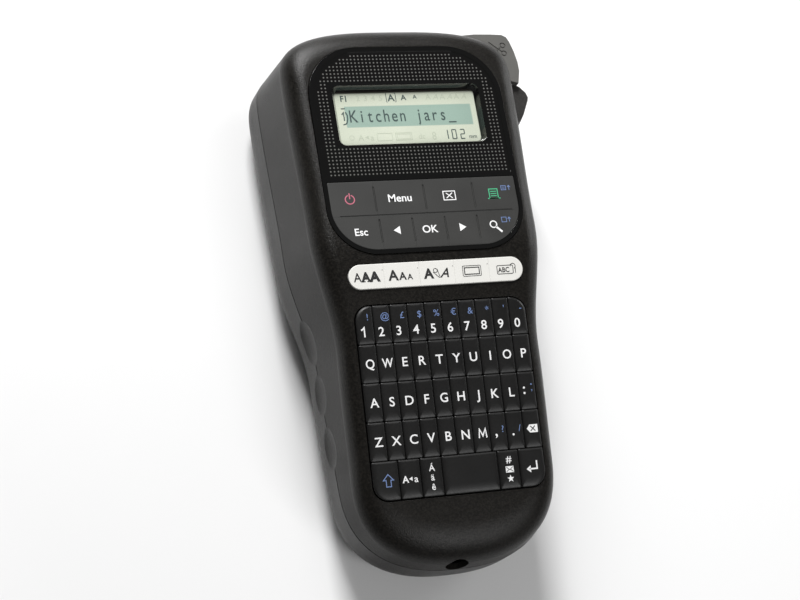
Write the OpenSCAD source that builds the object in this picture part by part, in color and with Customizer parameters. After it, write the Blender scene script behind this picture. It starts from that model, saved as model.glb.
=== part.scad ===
// Handheld label maker with a letter keyboard, lying on its back.
// +X is the cutter side, +Y is the screen end, +Z comes out of the screen.
// The origin is on the flat of the back cover, midway along the body.

/* [Body outline] */
// Length of the body, end to end
body_l = 207; // [190:1:225]
// Half width of the case at the foot of the grip
grip_hw = 40.8; // [38:0.2:45]
// Half width of the case at the waist
waist_hw = 42.3; // [39:0.2:46]
// Half width of the case at the shoulder
shoulder_hw = 48.9; // [46:0.1:53]
// Half width of the case beside the screen
head_hw = 50.5; // [47:0.1:55]
// Height of the screen face above the back
face_z = 58.75; // [56:0.05:66]
// Slope of the keyboard face, in degrees
key_tilt = 9.2; // [6:0.1:11]
// Where the keyboard face meets the screen face
bend_y = 9.3; // [6:0.1:13]
// Length of the rounded bottom corners
foot_corner = 34; // [26:1:38]
// Length of the rounded top corners
head_corner = 22; // [18:1:30]

/* [Shells] */
// Height of the line where the two case halves meet
parting_z = 27; // [26:0.5:28]
// Height of the seam between the rear case and its cover
seam_z = 8; // [7:0.5:9]
// Wall thickness of the mouldings
wall = 2.2; // [1.6:0.1:2.6]
// Drop of the rounded edge round the face
crown_v = 8.5; // [7:0.1:9]
// Reach of the rounded edge beside the screen
crown_h = 8; // [6:0.1:9]
// Reach of the rounded edge beside the keyboard
crown_grip = 6.5; // [5:0.1:7]
// Gap between pieces that lie side by side
gap = 0.3; // [0.2:0.05:0.4]

/* [Keyboard] */
// Distance between key columns
key_dx = 6.64; // [6.2:0.02:6.9]
// Distance between key rows
key_dy = 14.16; // [13:0.02:14.4]
// Depth that a key travels
key_travel = 0.7; // [0.4:0.05:0.9]
// Height of the letter keys above the face
key_proud = 0.8; // [0.4:0.05:0.8]
// Half width of the white key strip
strip_hw = 34.3; // [31:0.1:35]
// Height of the white key strip
strip_h = 9.6; // [8:0.1:11]

/* [Screen panel] */
// Half width of the opening for the screen panel
panel_hw = 38.7; // [36:0.1:39]
// Length of the opening above the bend
panel_l = 84.3; // [80:0.1:86]
// Width of the gloss ring round the panel
ring_w = 1.6; // [1.2:0.1:2]
// Height of the function key area inside the ring
function_l = 27.5; // [25:0.1:29]
// Half width of the visible screen
screen_hw = 28.1; // [25:0.1:30]
// Height of the visible screen
screen_l = 22; // [20:0.1:24]

/* [Tape drive] */
// Gear module
gear_m = 0.5; // [0.4:0.05:0.5]
// Radius of the platen roller
platen_r = 4.4; // [4:0.1:4.6]
// Width of the label tape
tape_w = 12; // [9:1:12]
// Thickness of the tape cassette
cassette_t = 16; // [15:0.5:16.2]
// Radius of a battery cell
cell_r = 5.25; // [5:0.05:5.3]
// Length of a battery cell
cell_l = 44.5; // [42:0.5:45]
// Radius of the power inlet
jack_r = 3; // [2.5:0.05:3.2]

/* [Hidden] */

case_colour = "#2b2a28";
key_colour = "#222222";
sheet_colour = "#3a3a3a";
lever_colour = "#6f6f6a";
steel_colour = "#b9bcc0";
gear_colour = "#d8d4c8";
board_colour = "#1f6b45";

half_l = body_l / 2;
stations = 44;          // steps along the body in each ring
grip_y = -0.386 * body_l;
waist_y = bend_y - 35;
shoulder_y = bend_y + 11;
head_y = half_l - 24;
side_lean = 3.836;      // how far the sides lean out, from the screen end's crown to the parting line
side_draft = side_lean / (face_z - crown_v - parting_z);
rear_draft = -0.05;     // and how far they draw in again below it, beside the head
rear_round_h = 12;      // reach of the rounded back edge
rear_round_v = 17;      // and its height
crown_foot = 14;        // reach of the rounded edge at the bottom end
crown_head = 10;        // and at the top end

// ---- Case surface -------------------------------------------------------

function clamp01(t) = max(0, min(1, t));
function ease(t) = clamp01(t) * clamp01(t) * (3 - 2 * clamp01(t));
function mix(a, b, t) = a + (b - a) * t;

// Half width of the case at the parting line, before the corners are rounded
function side_x(y) =
  grip_hw
  + (waist_hw - grip_hw) * ease((y - grip_y) / (waist_y - grip_y))
  + (shoulder_hw - waist_hw) * ease((y - waist_y) / (shoulder_y - waist_y))
  + (head_hw - shoulder_hw) * ease((y - shoulder_y) / (head_y - shoulder_y));

// Share of the width left at a distance d from an end whose corner is a long
function corner(d, a, p) = d >= a ? 1 : pow(max(0, 1 - pow(max(0, 1 - d / a), p)), 1 / p);

// Height of the face: level by the screen, sloping by the keyboard
function face_at(y) =
  let (d = bend_y - y, soft = 3)
  face_z - tan(key_tilt) * (d + sqrt(d * d + soft * soft)) / 2;

function head_share(y) = ease((y - waist_y) / (shoulder_y - waist_y));

// Distance along the body of station i in a ring whose ends are pulled in
function station_y(i, foot, head) =
  mix(-half_l + foot, half_l - head, (1 - cos(180 * i / stations)) / 2);

// A ring of points, seen from above anticlockwise. inset(y) narrows it and height(y) lifts it.
function ring(foot, head, inset, height) =
  let (
    right = [for (i = [0:stations]) let (
      y = station_y(i, foot, head),
      low = corner(y + half_l - foot, foot_corner - foot / 2, 2.4),
      high = corner(half_l - head - y, head_corner - head / 2, 3.1)
    ) [(side_x(y) - inset(y)) * low * high, y, height(y)]]
  )
  [for (i = [0:2 * stations - 1])
    i == 0 || i == stations ? [0, right[i].y, right[i].z]
    : i < stations ? right[i]
    : [-right[2 * stations - i].x, right[2 * stations - i].y, right[2 * stations - i].z]];

// Ring on the front case: a is 0 where the rounded edge starts and 90 where it meets the face.
// t is how far inside the outer surface it lies.
function crown_ring(a, t) =
  let (
    fall = crown_v * (1 - sin(a)),
    start = side_draft * (face_at(-half_l) - crown_v - parting_z)
  )
  ring(
    start + (crown_foot - t) * (1 - cos(a)) + t,
    (crown_head - t) * (1 - cos(a)) + t,
    function(y) side_draft * (face_at(y) - crown_v - parting_z)
      + (mix(crown_grip, crown_h, head_share(y)) - t) * (1 - cos(a)) + t,
    function(y) face_at(y) - t - (crown_v - t) * (1 - sin(a))
  );

// Ring on the rear case or its cover at height z, t inside the outer surface
function back_inset(y, z) =
  rear_draft * head_share(y) * (parting_z - z)
  + rear_round_h * (1 - sqrt(1 - pow(max(0, (rear_round_v - z) / rear_round_v), 2)));
function back_ring(z, t, level) = ring(
  back_inset(-half_l, z) + t, back_inset(half_l, z) + t,
  function(y) back_inset(y, z) + t, function(y) level
);

// Closed body through a stack of rings, with a cap across the first and the last
module loft(rings) {
  n = len(rings[0]);
  last = len(rings) - 1;
  sides = [for (k = [0:last - 1], i = [0:n - 1])
    [(k + 1) * n + i, (k + 1) * n + (i + 1) % n, k * n + (i + 1) % n, k * n + i]];
  first_cap = [for (j = [0:n / 2 - 1])
    j == 0 ? [0, 1, n - 1]
    : j == n / 2 - 1 ? [j, j + 1, n - j]
    : [j, j + 1, n - j - 1, n - j]];
  top_cap = [for (f = first_cap) [for (i = [len(f) - 1:-1:0]) last * n + f[i]]];
  polyhedron(points = [for (r = rings, p = r) p], faces = concat(sides, first_cap, top_cap));
}

crown_steps = [0, 20, 38, 54, 68, 80, 90];

module front_skin() {
  foot_ring = ring(0, 0, function(y) 0, function(y) parting_z);
  loft(concat([foot_ring], [for (a = crown_steps) crown_ring(a, 0)]));
}

module front_cavity() {
  below = parting_z - 0.2;
  foot_ring = ring(wall, wall, function(y) wall, function(y) below);
  loft(concat([foot_ring], [for (a = [0, 30, 60, 90]) crown_ring(a, wall)]));
}

rear_steps = [parting_z, 17, 13, 10, seam_z];
module rear_skin() {
  loft([for (i = [len(rear_steps) - 1:-1:0]) back_ring(rear_steps[i], 0, rear_steps[i])]);
}
module rear_cavity() {
  lid = len(rear_steps) - 1;
  loft([for (i = [lid:-1:0]) back_ring(
    rear_steps[i], wall, rear_steps[i] + (i == lid ? -0.2 : i == 0 ? 0.2 : 0))]);
}

cover_gap = 0.15;
cover_top = seam_z - cover_gap;
module cover_skin() {
  loft([for (z = [0, 0.9, 2.4, 5, cover_top]) back_ring(z, 0, z)]);
}
module cover_cavity() {
  loft([for (z = [wall, 3, 5, cover_top]) back_ring(z, wall, z == cover_top ? seam_z : z)]);
}

// ---- Shared shapes ------------------------------------------------------

// Points of a rectangle with its own radius at the low and the high corners
function arc(cx, cy, r, from, steps = 8) =
  [for (i = [0:steps]) [cx + r * cos(from + 90 * i / steps), cy + r * sin(from + 90 * i / steps)]];
function panel_points(x0, x1, y0, y1, low_r, high_r, steps = 8) = concat(
  arc(x0 + low_r, y0 + low_r, low_r, 180, steps),
  arc(x1 - low_r, y0 + low_r, low_r, 270, steps),
  arc(x1 - high_r, y1 - high_r, high_r, 0, steps),
  arc(x0 + high_r, y1 - high_r, high_r, 90, steps)
);
module plate(points, z0, z1) {
  translate([0, 0, z0]) linear_extrude(z1 - z0) polygon(points);
}
module block(x0, x1, y0, y1, z0, z1) {
  translate([x0, y0, z0]) cube([x1 - x0, y1 - y0, z1 - z0]);
}
module rod(x, y, r, z0, z1) {
  translate([x, y, z0]) cylinder(r = r, h = z1 - z0, $fn = 48);
}
// Moves what it holds onto the keyboard face: its own y runs along the slope from the bend
module on_keys() {
  translate([0, bend_y, face_z]) rotate([key_tilt, 0, 0]) children();
}
// Moves what it holds onto the screen face
module on_head() {
  translate([0, bend_y, face_z]) children();
}

// ---- Places on the two faces --------------------------------------------

strip_y = -8.2;                              // middle of the white strip, from the bend
keyboard_top = -18.6;
keyboard_hw = 5 * key_dx + gap;
keyboard_bottom = keyboard_top - 5 * key_dy - 2 * gap;
keyboard_r = 6;
panel_top_r = 21;
panel_low_r = 18;
sheet_y0 = ring_w;                           // function key sheet, inside the ring
sheet_y1 = sheet_y0 + function_l;
screen_y0 = 45;
key_depth = 3;                               // solid of a key below the face
mat_z = -key_depth - key_travel - 0.1;       // top of the rubber mat under the keys
mat_t = 1;
board_t = 1.6;
board_z = mat_z - mat_t;                     // top of the circuit board under the mat
sheet_t = 2;                                 // thickness of the function keys
sheet_travel = 0.5;

function keyboard_outline(d) = panel_points(
  -keyboard_hw + d, keyboard_hw - d, keyboard_bottom + d, keyboard_top - d, keyboard_r - d, keyboard_r - d);
function strip_outline(d) = panel_points(
  -strip_hw + d, strip_hw - d, strip_y - strip_h / 2 + d, strip_y + strip_h / 2 - d,
  strip_h / 2 - d - 0.01, strip_h / 2 - d - 0.01);
function panel_outline(d) = panel_points(
  -panel_hw + d, panel_hw - d, d, panel_l - d, panel_low_r - d, panel_top_r - d);

// ---- Tape side ----------------------------------------------------------

pocket_z0 = seam_z + 2;
pocket_z1 = face_z - crown_v - 0.2;
pocket_x = 42.5;                             // inner wall beside the tape exit
lever_x = 36;                                // pivot of the cutter lever
lever_y = half_l - 10.5;
exit_y = half_l - 18.2;                      // line along which the tape leaves
guard_top = exit_y - 2.7;
guard_foot = guard_top - 16.2;
lever_pin_r = 1.5;
pin_fit = 0.05;

function pocket_points(d) = [
  [29 - d, half_l + 10], [29 - d, half_l - 6.5 - d / 2], [31.5 - d, half_l - 14.5 - d],
  [pocket_x - d, half_l - 15.6 - d], [pocket_x - d, guard_foot - 0.3 - d],
  [head_hw + 15, guard_foot - 0.3 - d], [head_hw + 15, half_l + 10]
];
module lever_pocket() {
  plate(pocket_points(0), pocket_z0, pocket_z1);
}

screw_places = [[27, -half_l + 13.5], [-27, -half_l + 13.5], [37.5, 0], [-37.5, 0],
  [-33, half_l - 7.5], [4, half_l - 5.4]];
post_r = 2.8;
screw_r = 1.2;
screw_seat_z = 16;                           // underside of a screw's head
screw_tip_z = 36;

floor_z0 = parting_z - 2;                    // floor of the battery and cassette bays
floor_z1 = parting_z;

jack_x = -2;
jack_drop = 8.98;                            // from the face at the foot to the inlet's axis
jack_z = face_at(-half_l) - jack_drop;
jack_y0 = -half_l + 5.2;

platen_x = 14;
platen_y = exit_y + platen_r + 0.35;
holder_x = -6;
holder_y = half_l - 9.5;
holder_pin_r = 1;                            // stud of the rear case that the platen holder turns on
gear_z0 = floor_z1 + 2;
gear_t = 3;
spindle_r = 1.2;

teeth_platen = 24;
teeth_small = 30;
teeth_large = 40;
teeth_ribbon = 36;
teeth_pinion = 16;
to_small = -110;                             // directions from one gear to the next
to_large = -150;
to_ribbon = -30;
to_pinion = 150;
function pitch_r(teeth) = gear_m * teeth / 2;
function next_place(p, teeth_a, teeth_b, angle) =
  p + (pitch_r(teeth_a) + pitch_r(teeth_b)) * [cos(angle), sin(angle)];
function mesh_turn(turn, teeth_a, teeth_b, angle) =
  angle + 180 + 180 / teeth_b - (turn - angle) * teeth_a / teeth_b;

platen_at = [platen_x, platen_y];
small_at = next_place(platen_at, teeth_platen, teeth_small, to_small);
large_at = next_place(small_at, teeth_small, teeth_large, to_large);
ribbon_at = next_place(large_at, teeth_large, teeth_ribbon, to_ribbon);
pinion_at = next_place(large_at, teeth_large, teeth_pinion, to_pinion);
platen_turn = 0;
small_turn = mesh_turn(platen_turn, teeth_platen, teeth_small, to_small);
large_turn = mesh_turn(small_turn, teeth_small, teeth_large, to_large);
ribbon_turn = mesh_turn(large_turn, teeth_large, teeth_ribbon, to_ribbon);
pinion_turn = mesh_turn(large_turn, teeth_large, teeth_pinion, to_pinion);
roll_at = [-19, exit_y - 24];                // middle of the tape roll
roll_r = 15;

cassette_z0 = floor_z0 - 0.5 - cassette_t;
cell_z = floor_z0 - 4.8 - cell_r;
cell_dx = 10.9;
cell_y0 = -half_l + 23;                      // where the cells' springs end
spring_l = 4;

// ---- Cases --------------------------------------------------------------

module front_case() {
  color(case_colour)
  difference() {
    front_skin();
    difference() {
      front_cavity();
      plate(pocket_points(1.6), parting_z - 1, pocket_z1 + 1.6);
      for (p = screw_places) rod(p.x, p.y, post_r, parting_z - 1, face_z);
      // ledge that the screen panel and the function keys sit in
      on_head() plate(panel_points(-panel_hw - 1.6, panel_hw + 1.6, -1.6, panel_l + 1.6,
        panel_low_r, panel_top_r), -4.5, 0);
    }
    lever_pocket();
    for (p = screw_places) rod(p.x, p.y, screw_r - 0.15, parting_z - 1, screw_tip_z);
    on_head() plate(panel_outline(0), -6, 5);
    on_keys() plate(strip_outline(-0.05), -8, 5);
    on_keys() plate(keyboard_outline(-0.05), -8, 5);
    translate([jack_x, -half_l - 1, jack_z]) rotate([-90, 0, 0]) cylinder(r = 4.35, h = 9, $fn = 48);
  }
}

module bay_walls() {
  difference() {
    block(-60, 60, -half_l, half_l, floor_z0, floor_z1);
    rod(ribbon_at.x, ribbon_at.y, 3, floor_z0 - 1, floor_z1 + 1);
    rod(platen_at.x, platen_at.y, 4, floor_z0 - 1, floor_z1 + 1);
    rod(platen_at.x, platen_at.y + 2, 4, floor_z0 - 1, floor_z1 + 1);
    block(platen_x - 8, platen_x + 8, exit_y - 6.5, exit_y - 0.8, floor_z0 - 1, floor_z1 + 1);
    block(-12, 12, -28, -14, floor_z0 - 1, floor_z1 + 1);
    block(jack_x - 6, jack_x + 6, -half_l, -half_l + 19, floor_z0 - 1, floor_z1 + 1);
  }
  block(-60, 60, cell_y0 - 3, cell_y0 - 1.4, seam_z + 0.6, floor_z1);
  block(-60, 60, cell_y0 + cell_l + spring_l + 1.4, cell_y0 + cell_l + spring_l + 3, seam_z + 0.6, floor_z1);
  block(-46, 40, exit_y - 51.5, exit_y - 50, seam_z + 0.6, floor_z1);
}

module rear_case() {
  color(case_colour)
  difference() {
    rear_skin();
    difference() {
      rear_cavity();
      plate(pocket_points(1.6), seam_z - 1, parting_z + 1);
      bay_walls();
      for (p = screw_places) rod(p.x, p.y, post_r, screw_seat_z - 1.6, parting_z + 1);
      rod(holder_x, holder_y, holder_pin_r, seam_z - 1, floor_z0 + 0.5);
    }
    plate(pocket_points(0), pocket_z0, parting_z + 1);
    for (p = screw_places) {
      rod(p.x, p.y, screw_r + 0.15, screw_seat_z - 2, parting_z + 1);
      rod(p.x, p.y, 2.3, screw_seat_z - 2, screw_seat_z);
    }
    rod(lever_x, lever_y, lever_pin_r + 0.02, seam_z + 0.6, pocket_z0 + 1);
    block(pocket_x - 3, pocket_x + 1, exit_y - 2.4, exit_y + 2.4, pocket_z0 + 0.4, floor_z0 - 1);
  }
}

module back_cover() {
  color(case_colour)
  difference() {
    union() {
      difference() {
        cover_skin();
        cover_cavity();
      }
      // hooks at the foot
      for (x = [-10, 10]) block(x - 4, x + 4, -half_l + 9, -half_l + 11, wall - 0.5, seam_z + 3);
      // ribs that press on the cells and on the cassette
      for (y = [cell_y0 + 14, cell_y0 + 34]) block(-24, 24, y - 0.8, y + 0.8, wall - 0.5, seam_z - 1);
      for (x = [-22, 14]) block(x - 0.8, x + 0.8, exit_y - 44, exit_y - 16, wall - 0.5, seam_z - 1);
      // cheeks that the latch slides between
      for (x = [-10.6, 9]) block(x, x + 1.6, half_l - 22, half_l - 13, wall - 0.5, seam_z - 1);
    }
    // thumb recess for the latch
    block(-8.4, 8.4, half_l - 21.6, half_l - 14.5, -1, wall + 1);
  }
}

module cover_latch() {
  color(case_colour) {
    difference() {
      block(-8, 8, half_l - 19.6, half_l - 14.9, 0.4, wall + 1.4);
      for (i = [0:2]) block(-6.5, 6.5, half_l - 19 + i * 1.3, half_l - 18.4 + i * 1.3, 0, 0.9);
    }
    block(-8.6, 8.6, half_l - 19.6, half_l - 11.6, wall + 0.4, wall + 2);
    block(-8.6, 8.6, half_l - 13.2, half_l - 11.6, wall + 0.4, seam_z - 0.8);
    block(-8.6, 8.6, half_l - 13.2, half_l - 10.2, seam_z - 2, seam_z - 0.8);
  }
}

// ---- Screen -------------------------------------------------------------

module screen_bezel() {
  color("#101010")
  on_head()
  difference() {
    plate(panel_outline(0.1), -2.4, 0.25);
    difference() {
      plate(panel_outline(ring_w), -5, 2);
      block(-60, 60, sheet_y1, 200, -6, 3);
    }
    plate(panel_points(-screen_hw - 1.6, screen_hw + 1.6, screen_y0 - 1.6, screen_y0 + screen_l + 1.6, 2, 2), -6, 3);
  }
}

module screen_lens() {
  color([0.75, 0.8, 0.78, 0.4])
  on_head()
  plate(panel_points(-screen_hw - 1.5, screen_hw + 1.5, screen_y0 - 1.5, screen_y0 + screen_l + 1.5, 2, 2), -1, 0.05);
}

module lcd_module() {
  color("#cfdcc4")
  on_head() {
    plate(panel_points(-screen_hw - 2.6, screen_hw + 2.6, screen_y0 - 3, screen_y0 + screen_l + 3, 0.6, 0.6), -5.4, -2.6);
  }
}

module lcd_holder() {
  color("#e4e2da")
  on_head()
  difference() {
    block(-screen_hw - 5, screen_hw + 5, screen_y0 - 5.4, screen_y0 + screen_l + 5.4, -7.6, -4.7);
    block(-screen_hw - 2.9, screen_hw + 2.9, screen_y0 - 3.3, screen_y0 + screen_l + 3.3, -5.6, -4);
    block(-12, 12, screen_y0 + screen_l + 2, screen_y0 + screen_l + 4.4, -8, -5);
  }
}

module display_board() {
  color(board_colour)
  on_head() {
    difference() {
      block(-34, 34, 3, screen_y0 + screen_l + 6, -9.3, -9.3 + board_t);
      for (x = [-31, 31], y = [6, screen_y0 + screen_l + 3])
        translate([x, y, -10]) cylinder(r = 1.1, h = 3, $fn = 32);
    }
    for (i = [0:2]) block(-28 + 16 * i, -20 + 16 * i, 20, 28, -10.6, -9.3);
    block(10, 26, 34, 40, -12.3, -9.3);
  }
}

// ---- Keyboard internals -------------------------------------------------

module key_mat() {
  color("#4a4a4c") {
    on_keys() {
      plate(keyboard_outline(-0.5), board_z, mat_z);
      block(-strip_hw, strip_hw, keyboard_top - 1, strip_y + strip_h / 2 + 1, board_z, mat_z);
    }
    on_head() intersection() {
      plate(panel_outline(ring_w + 0.6), -5.6, -3.2);
      block(-panel_hw, panel_hw, 0, sheet_y1 + 0.5, -6, -3);
    }
  }
}

module main_board() {
  color(board_colour)
  on_keys() {
    difference() {
      block(-keyboard_hw, keyboard_hw, keyboard_bottom - 0.5, strip_y + strip_h / 2, board_z - board_t, board_z);
      for (x = [-30, 30], y = [keyboard_bottom + 6, strip_y - 6])
        translate([x, y, board_z - 3]) cylinder(r = 1.1, h = 4, $fn = 32);
    }
    block(-8, 4, -44, -32, board_z - board_t - 1.4, board_z - board_t);
    block(10, 18, -40, -33, board_z - board_t - 1.1, board_z - board_t);
    for (i = [0:3]) block(-26 + 5 * i, -23 + 5 * i, -56, -54.4, board_z - board_t - 1, board_z - board_t);
    for (i = [0:1]) translate([22, -52 - 9 * i, board_z - board_t - 6]) cylinder(r = 3.1, h = 6, $fn = 32);
    block(-10, 10, -24, -20.5, board_z - board_t - 2.2, board_z - board_t);
  }
}

module flat_cable() {
  cable_t = 0.3;
  color("#c9b98a") {
    block(-8, 8, bend_y + 4, bend_y + 12, face_z - 9.35 - cable_t, face_z - 9.35);
    block(-8, 8, bend_y + 4, bend_y + 4 + cable_t, face_z - 13.2, face_z - 9.35);
    block(-8, 8, bend_y - 23, bend_y + 4 + cable_t, face_z - 13.2, face_z - 13.2 + cable_t);
  }
}

// ---- Cutter -------------------------------------------------------------

lever_z0 = pocket_z0 + 0.4;
lever_z1 = pocket_z1 - 0.3;
plate_t = 2.6;
lever_right = head_hw + 1.8;
lever_plate = [
  [30.3, half_l - 4], [30.3, half_l - 0.6], [36, half_l - 0.1], [43, half_l - 0.2], [47.6, half_l - 0.5],
  [49.4, half_l - 1.5], [50.4, half_l - 3.6], [lever_right - 0.7, half_l - 8], [lever_right, half_l - 12.6],
  [lever_right, half_l - 16.5], [lever_right - 1.3, half_l - 21.9], [45.8, half_l - 20.3],
  [44.8, half_l - 13.5], [36, half_l - 13.9], [32.6, half_l - 10.5]
];
skirt_foot = exit_y + 2.5;
blade_x = 47.2;
spring_z = parting_z + 3;                    // room for the return spring round the pin
spring_room = 6;

module cutter_lever() {
  color(lever_colour)
  difference() {
    union() {
      plate(lever_plate, lever_z1 - plate_t, lever_z1);
      difference() {
        plate(lever_plate, lever_z0, lever_z1);
        block(20, 70, guard_foot, skirt_foot, lever_z0 - 1, lever_z1 - plate_t);
        translate([-2, -2, 0]) plate(lever_plate, lever_z0 + 1.8, lever_z1 - plate_t);
      }
      rod(lever_x, lever_y, 3, lever_z0, lever_z1);
      block(lever_x, 49, lever_y - 1, lever_y + 1, lever_z0, lever_z1 - 1);
      block(46.2, 49.2, skirt_foot + 0.4, lever_y, lever_z0, floor_z0);
    }
    rod(lever_x, lever_y, lever_pin_r + pin_fit, lever_z0 - 1, lever_z1 - 1.2);
    block(blade_x - 0.1, blade_x + 0.7, skirt_foot - 1, skirt_foot + 4.5, lever_z0 - 1, floor_z0 - 1);
    block(lever_x - 3.4, lever_x + 3.4, lever_y - 3.4, lever_y + 3.4, spring_z, spring_z + spring_room);
  }
}

module lever_pin() {
  color(steel_colour) rod(lever_x, lever_y, lever_pin_r, seam_z + 0.8, lever_z1 - 1.4);
}

// Wire wound round the Z axis: a tube of six sides that follows a helix
function wire_ring(centre, out, wire_r) =
  [for (s = [0:5]) centre + wire_r * (cos(60 * s) * out + sin(60 * s) * [0, 0, 1])];
module coil(r, wire_r, pitch, turns, from) {
  steps = turns * 10;
  points = [for (i = [0:steps], p = let (a = from + 360 * turns * i / steps)
    wire_ring([r * cos(a), r * sin(a), pitch * turns * i / steps], [cos(a), sin(a), 0], wire_r)) p];
  sides = [for (i = [0:steps - 1], s = [0:5])
    [6 * i + s, 6 * i + (s + 1) % 6, 6 * (i + 1) + (s + 1) % 6, 6 * (i + 1) + s]];
  polyhedron(points = points, faces = concat(sides,
    [[5, 4, 3, 2, 1, 0]], [[for (s = [0:5]) 6 * steps + s]]));
}

module lever_spring() {
  color(steel_colour)
  translate([lever_x, lever_y, spring_z + 0.6]) coil(2.3, 0.35, 1.2, 4, 0);
}

module cutter_blade() {
  color(steel_colour)
  difference() {
    block(blade_x, blade_x + 0.6, exit_y + 2.1, skirt_foot + 4.4, lever_z0 + 0.2, floor_z0 - 1.2);
    translate([blade_x - 1, exit_y + 1.2, lever_z0]) rotate([2, 0, 0]) cube([3, 1, 30]);
  }
}

module cutter_anvil() {
  color(steel_colour)
  block(44.1, 44.9, exit_y - 7.4, exit_y - 0.9, lever_z0 + 0.2, floor_z0 - 1.2);
}

guard_wall = 45.2;                           // inner side of the guard
guard_tip_top = 55.3;
guard_tip_low = head_hw + 9;
module tape_guard() {
  outline = [
    [pocket_x + 0.1, guard_foot], [50, guard_foot], [52, guard_foot + 3], [54.9, guard_foot + 9.1],
    [guard_tip_top, guard_foot + 10.5], [54.7, guard_foot + 12.6], [52.4, guard_foot + 15.2],
    [50.5, guard_top], [guard_wall, guard_top], [guard_wall, exit_y - 7.6],
    [pocket_x + 0.1, exit_y - 7.6]
  ];
  flare = (guard_tip_low - guard_wall) / (guard_tip_top - guard_wall);
  levels = [[pocket_z0 + 0.3, flare], [parting_z + 1, flare], [pocket_z1 - 3.5, 1]];
  points = [for (l = levels, p = outline)
    [p.x < guard_wall ? p.x : guard_wall + (p.x - guard_wall) * l[1], p.y, l[0]]];
  n = len(outline);
  sides = [for (k = [0:1], i = [0:n - 1])
    [(k + 1) * n + i, (k + 1) * n + (i + 1) % n, k * n + (i + 1) % n, k * n + i]];
  color("#1b1a19")
  polyhedron(points = points, faces = concat(sides,
    [[for (i = [0:n - 1]) i]], [[for (i = [n - 1:-1:0]) 2 * n + i]]));
}

// ---- Print mechanism ----------------------------------------------------

module print_head() {
  color("#ece7d6")
  block(platen_x - 6, platen_x + 6, exit_y - 1.2, exit_y - 0.15, cassette_z0 + 1, floor_z0 - 1);
}

module head_bracket() {
  color(steel_colour)
  block(platen_x - 7, platen_x + 7, exit_y - 2.8, exit_y - 1.25, cassette_z0 + 0.6, floor_z1 + 0.15);
}

chassis_t = 1;
module print_chassis() {
  color(steel_colour)
  difference() {
    plate([
      [-34, exit_y - 44], [24, exit_y - 44], [24, exit_y - 0.6], [20, platen_y + 5], [9, platen_y + 5],
      [4, exit_y + 1], [-34, exit_y + 1]
    ], floor_z1 + 0.2, floor_z1 + 0.2 + chassis_t);
    for (p = [small_at, large_at]) rod(p.x, p.y, spindle_r + 0.02, floor_z1 - 1, gear_z0);
    rod(ribbon_at.x, ribbon_at.y, 2.4, floor_z1 - 1, gear_z0);
    rod(platen_at.x, platen_at.y, 3.5, floor_z1 - 1, gear_z0);
    rod(platen_at.x, platen_at.y + 2, 3.5, floor_z1 - 1, gear_z0);
  }
  // fixed studs that the idler gears turn on
  color(steel_colour)
  for (p = [small_at, large_at]) rod(p.x, p.y, spindle_r, floor_z1 + 0.2, gear_z0 + gear_t + 0.8);
}

// Involute outline of one tooth flank, then the whole gear
function involute(base, r) = let (t = sqrt(max(0, r * r / (base * base) - 1)))
  t * 180 / PI - atan(t);
function gear_points(teeth) =
  let (
    pitch = pitch_r(teeth),
    base = pitch * cos(20),
    tip = pitch + 0.8 * gear_m,
    root = pitch - 1.05 * gear_m,
    half = 90 / teeth - 0.045 / pitch * 180 / PI,
    lift = involute(base, pitch),
    radii = [max(base, root), pitch - 0.3 * gear_m, pitch + 0.25 * gear_m, tip]
  )
  [for (k = [0:teeth - 1], p = concat(
    [[root, -(half + lift)]],
    [for (r = radii) [r, -(half + lift - involute(base, r))]],
    [for (i = [3:-1:0]) [radii[i], half + lift - involute(base, radii[i])]],
    [[root, half + lift]]
  )) p[0] * [cos(360 * k / teeth + p[1]), sin(360 * k / teeth + p[1])]];

module gear(at, teeth, turn, bore) {
  translate([at.x, at.y, gear_z0])
  difference() {
    rotate([0, 0, turn]) linear_extrude(gear_t) polygon(gear_points(teeth));
    translate([0, 0, -1]) cylinder(r = bore, h = gear_t + 2, $fn = 48);
  }
}

module platen_roller() {
  color("#39393b") rod(platen_x, platen_y, platen_r, cassette_z0 + 1.6, floor_z0 - 2.2);
  color(steel_colour) rod(platen_x, platen_y, spindle_r, cassette_z0 - 1.4, gear_z0 + gear_t + 0.6);
}
module platen_gear() {
  color(gear_colour) gear(platen_at, teeth_platen, platen_turn, spindle_r + 0.01);
}
module idler_gear_small() {
  color(gear_colour) gear(small_at, teeth_small, small_turn, spindle_r + pin_fit);
}
module idler_gear_large() {
  color(gear_colour) gear(large_at, teeth_large, large_turn, spindle_r + pin_fit);
}
module motor_pinion() {
  color("#c9a24a") gear(pinion_at, teeth_pinion, pinion_turn, 0.75);
}
module ribbon_spindle() {
  color(gear_colour) {
    gear(ribbon_at, teeth_ribbon, ribbon_turn, 1);
    difference() {
      rod(ribbon_at.x, ribbon_at.y, 2.2, cassette_z0 + 3, gear_z0);
      rod(ribbon_at.x, ribbon_at.y, 1, cassette_z0 + 2, gear_z0 + 1);
    }
    for (a = [0, 60, 120]) translate([ribbon_at.x, ribbon_at.y, cassette_z0 + 3])
      rotate([0, 0, a]) translate([-2.8, -0.35, 0]) cube([5.6, 0.7, 10]);
  }
}

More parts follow.
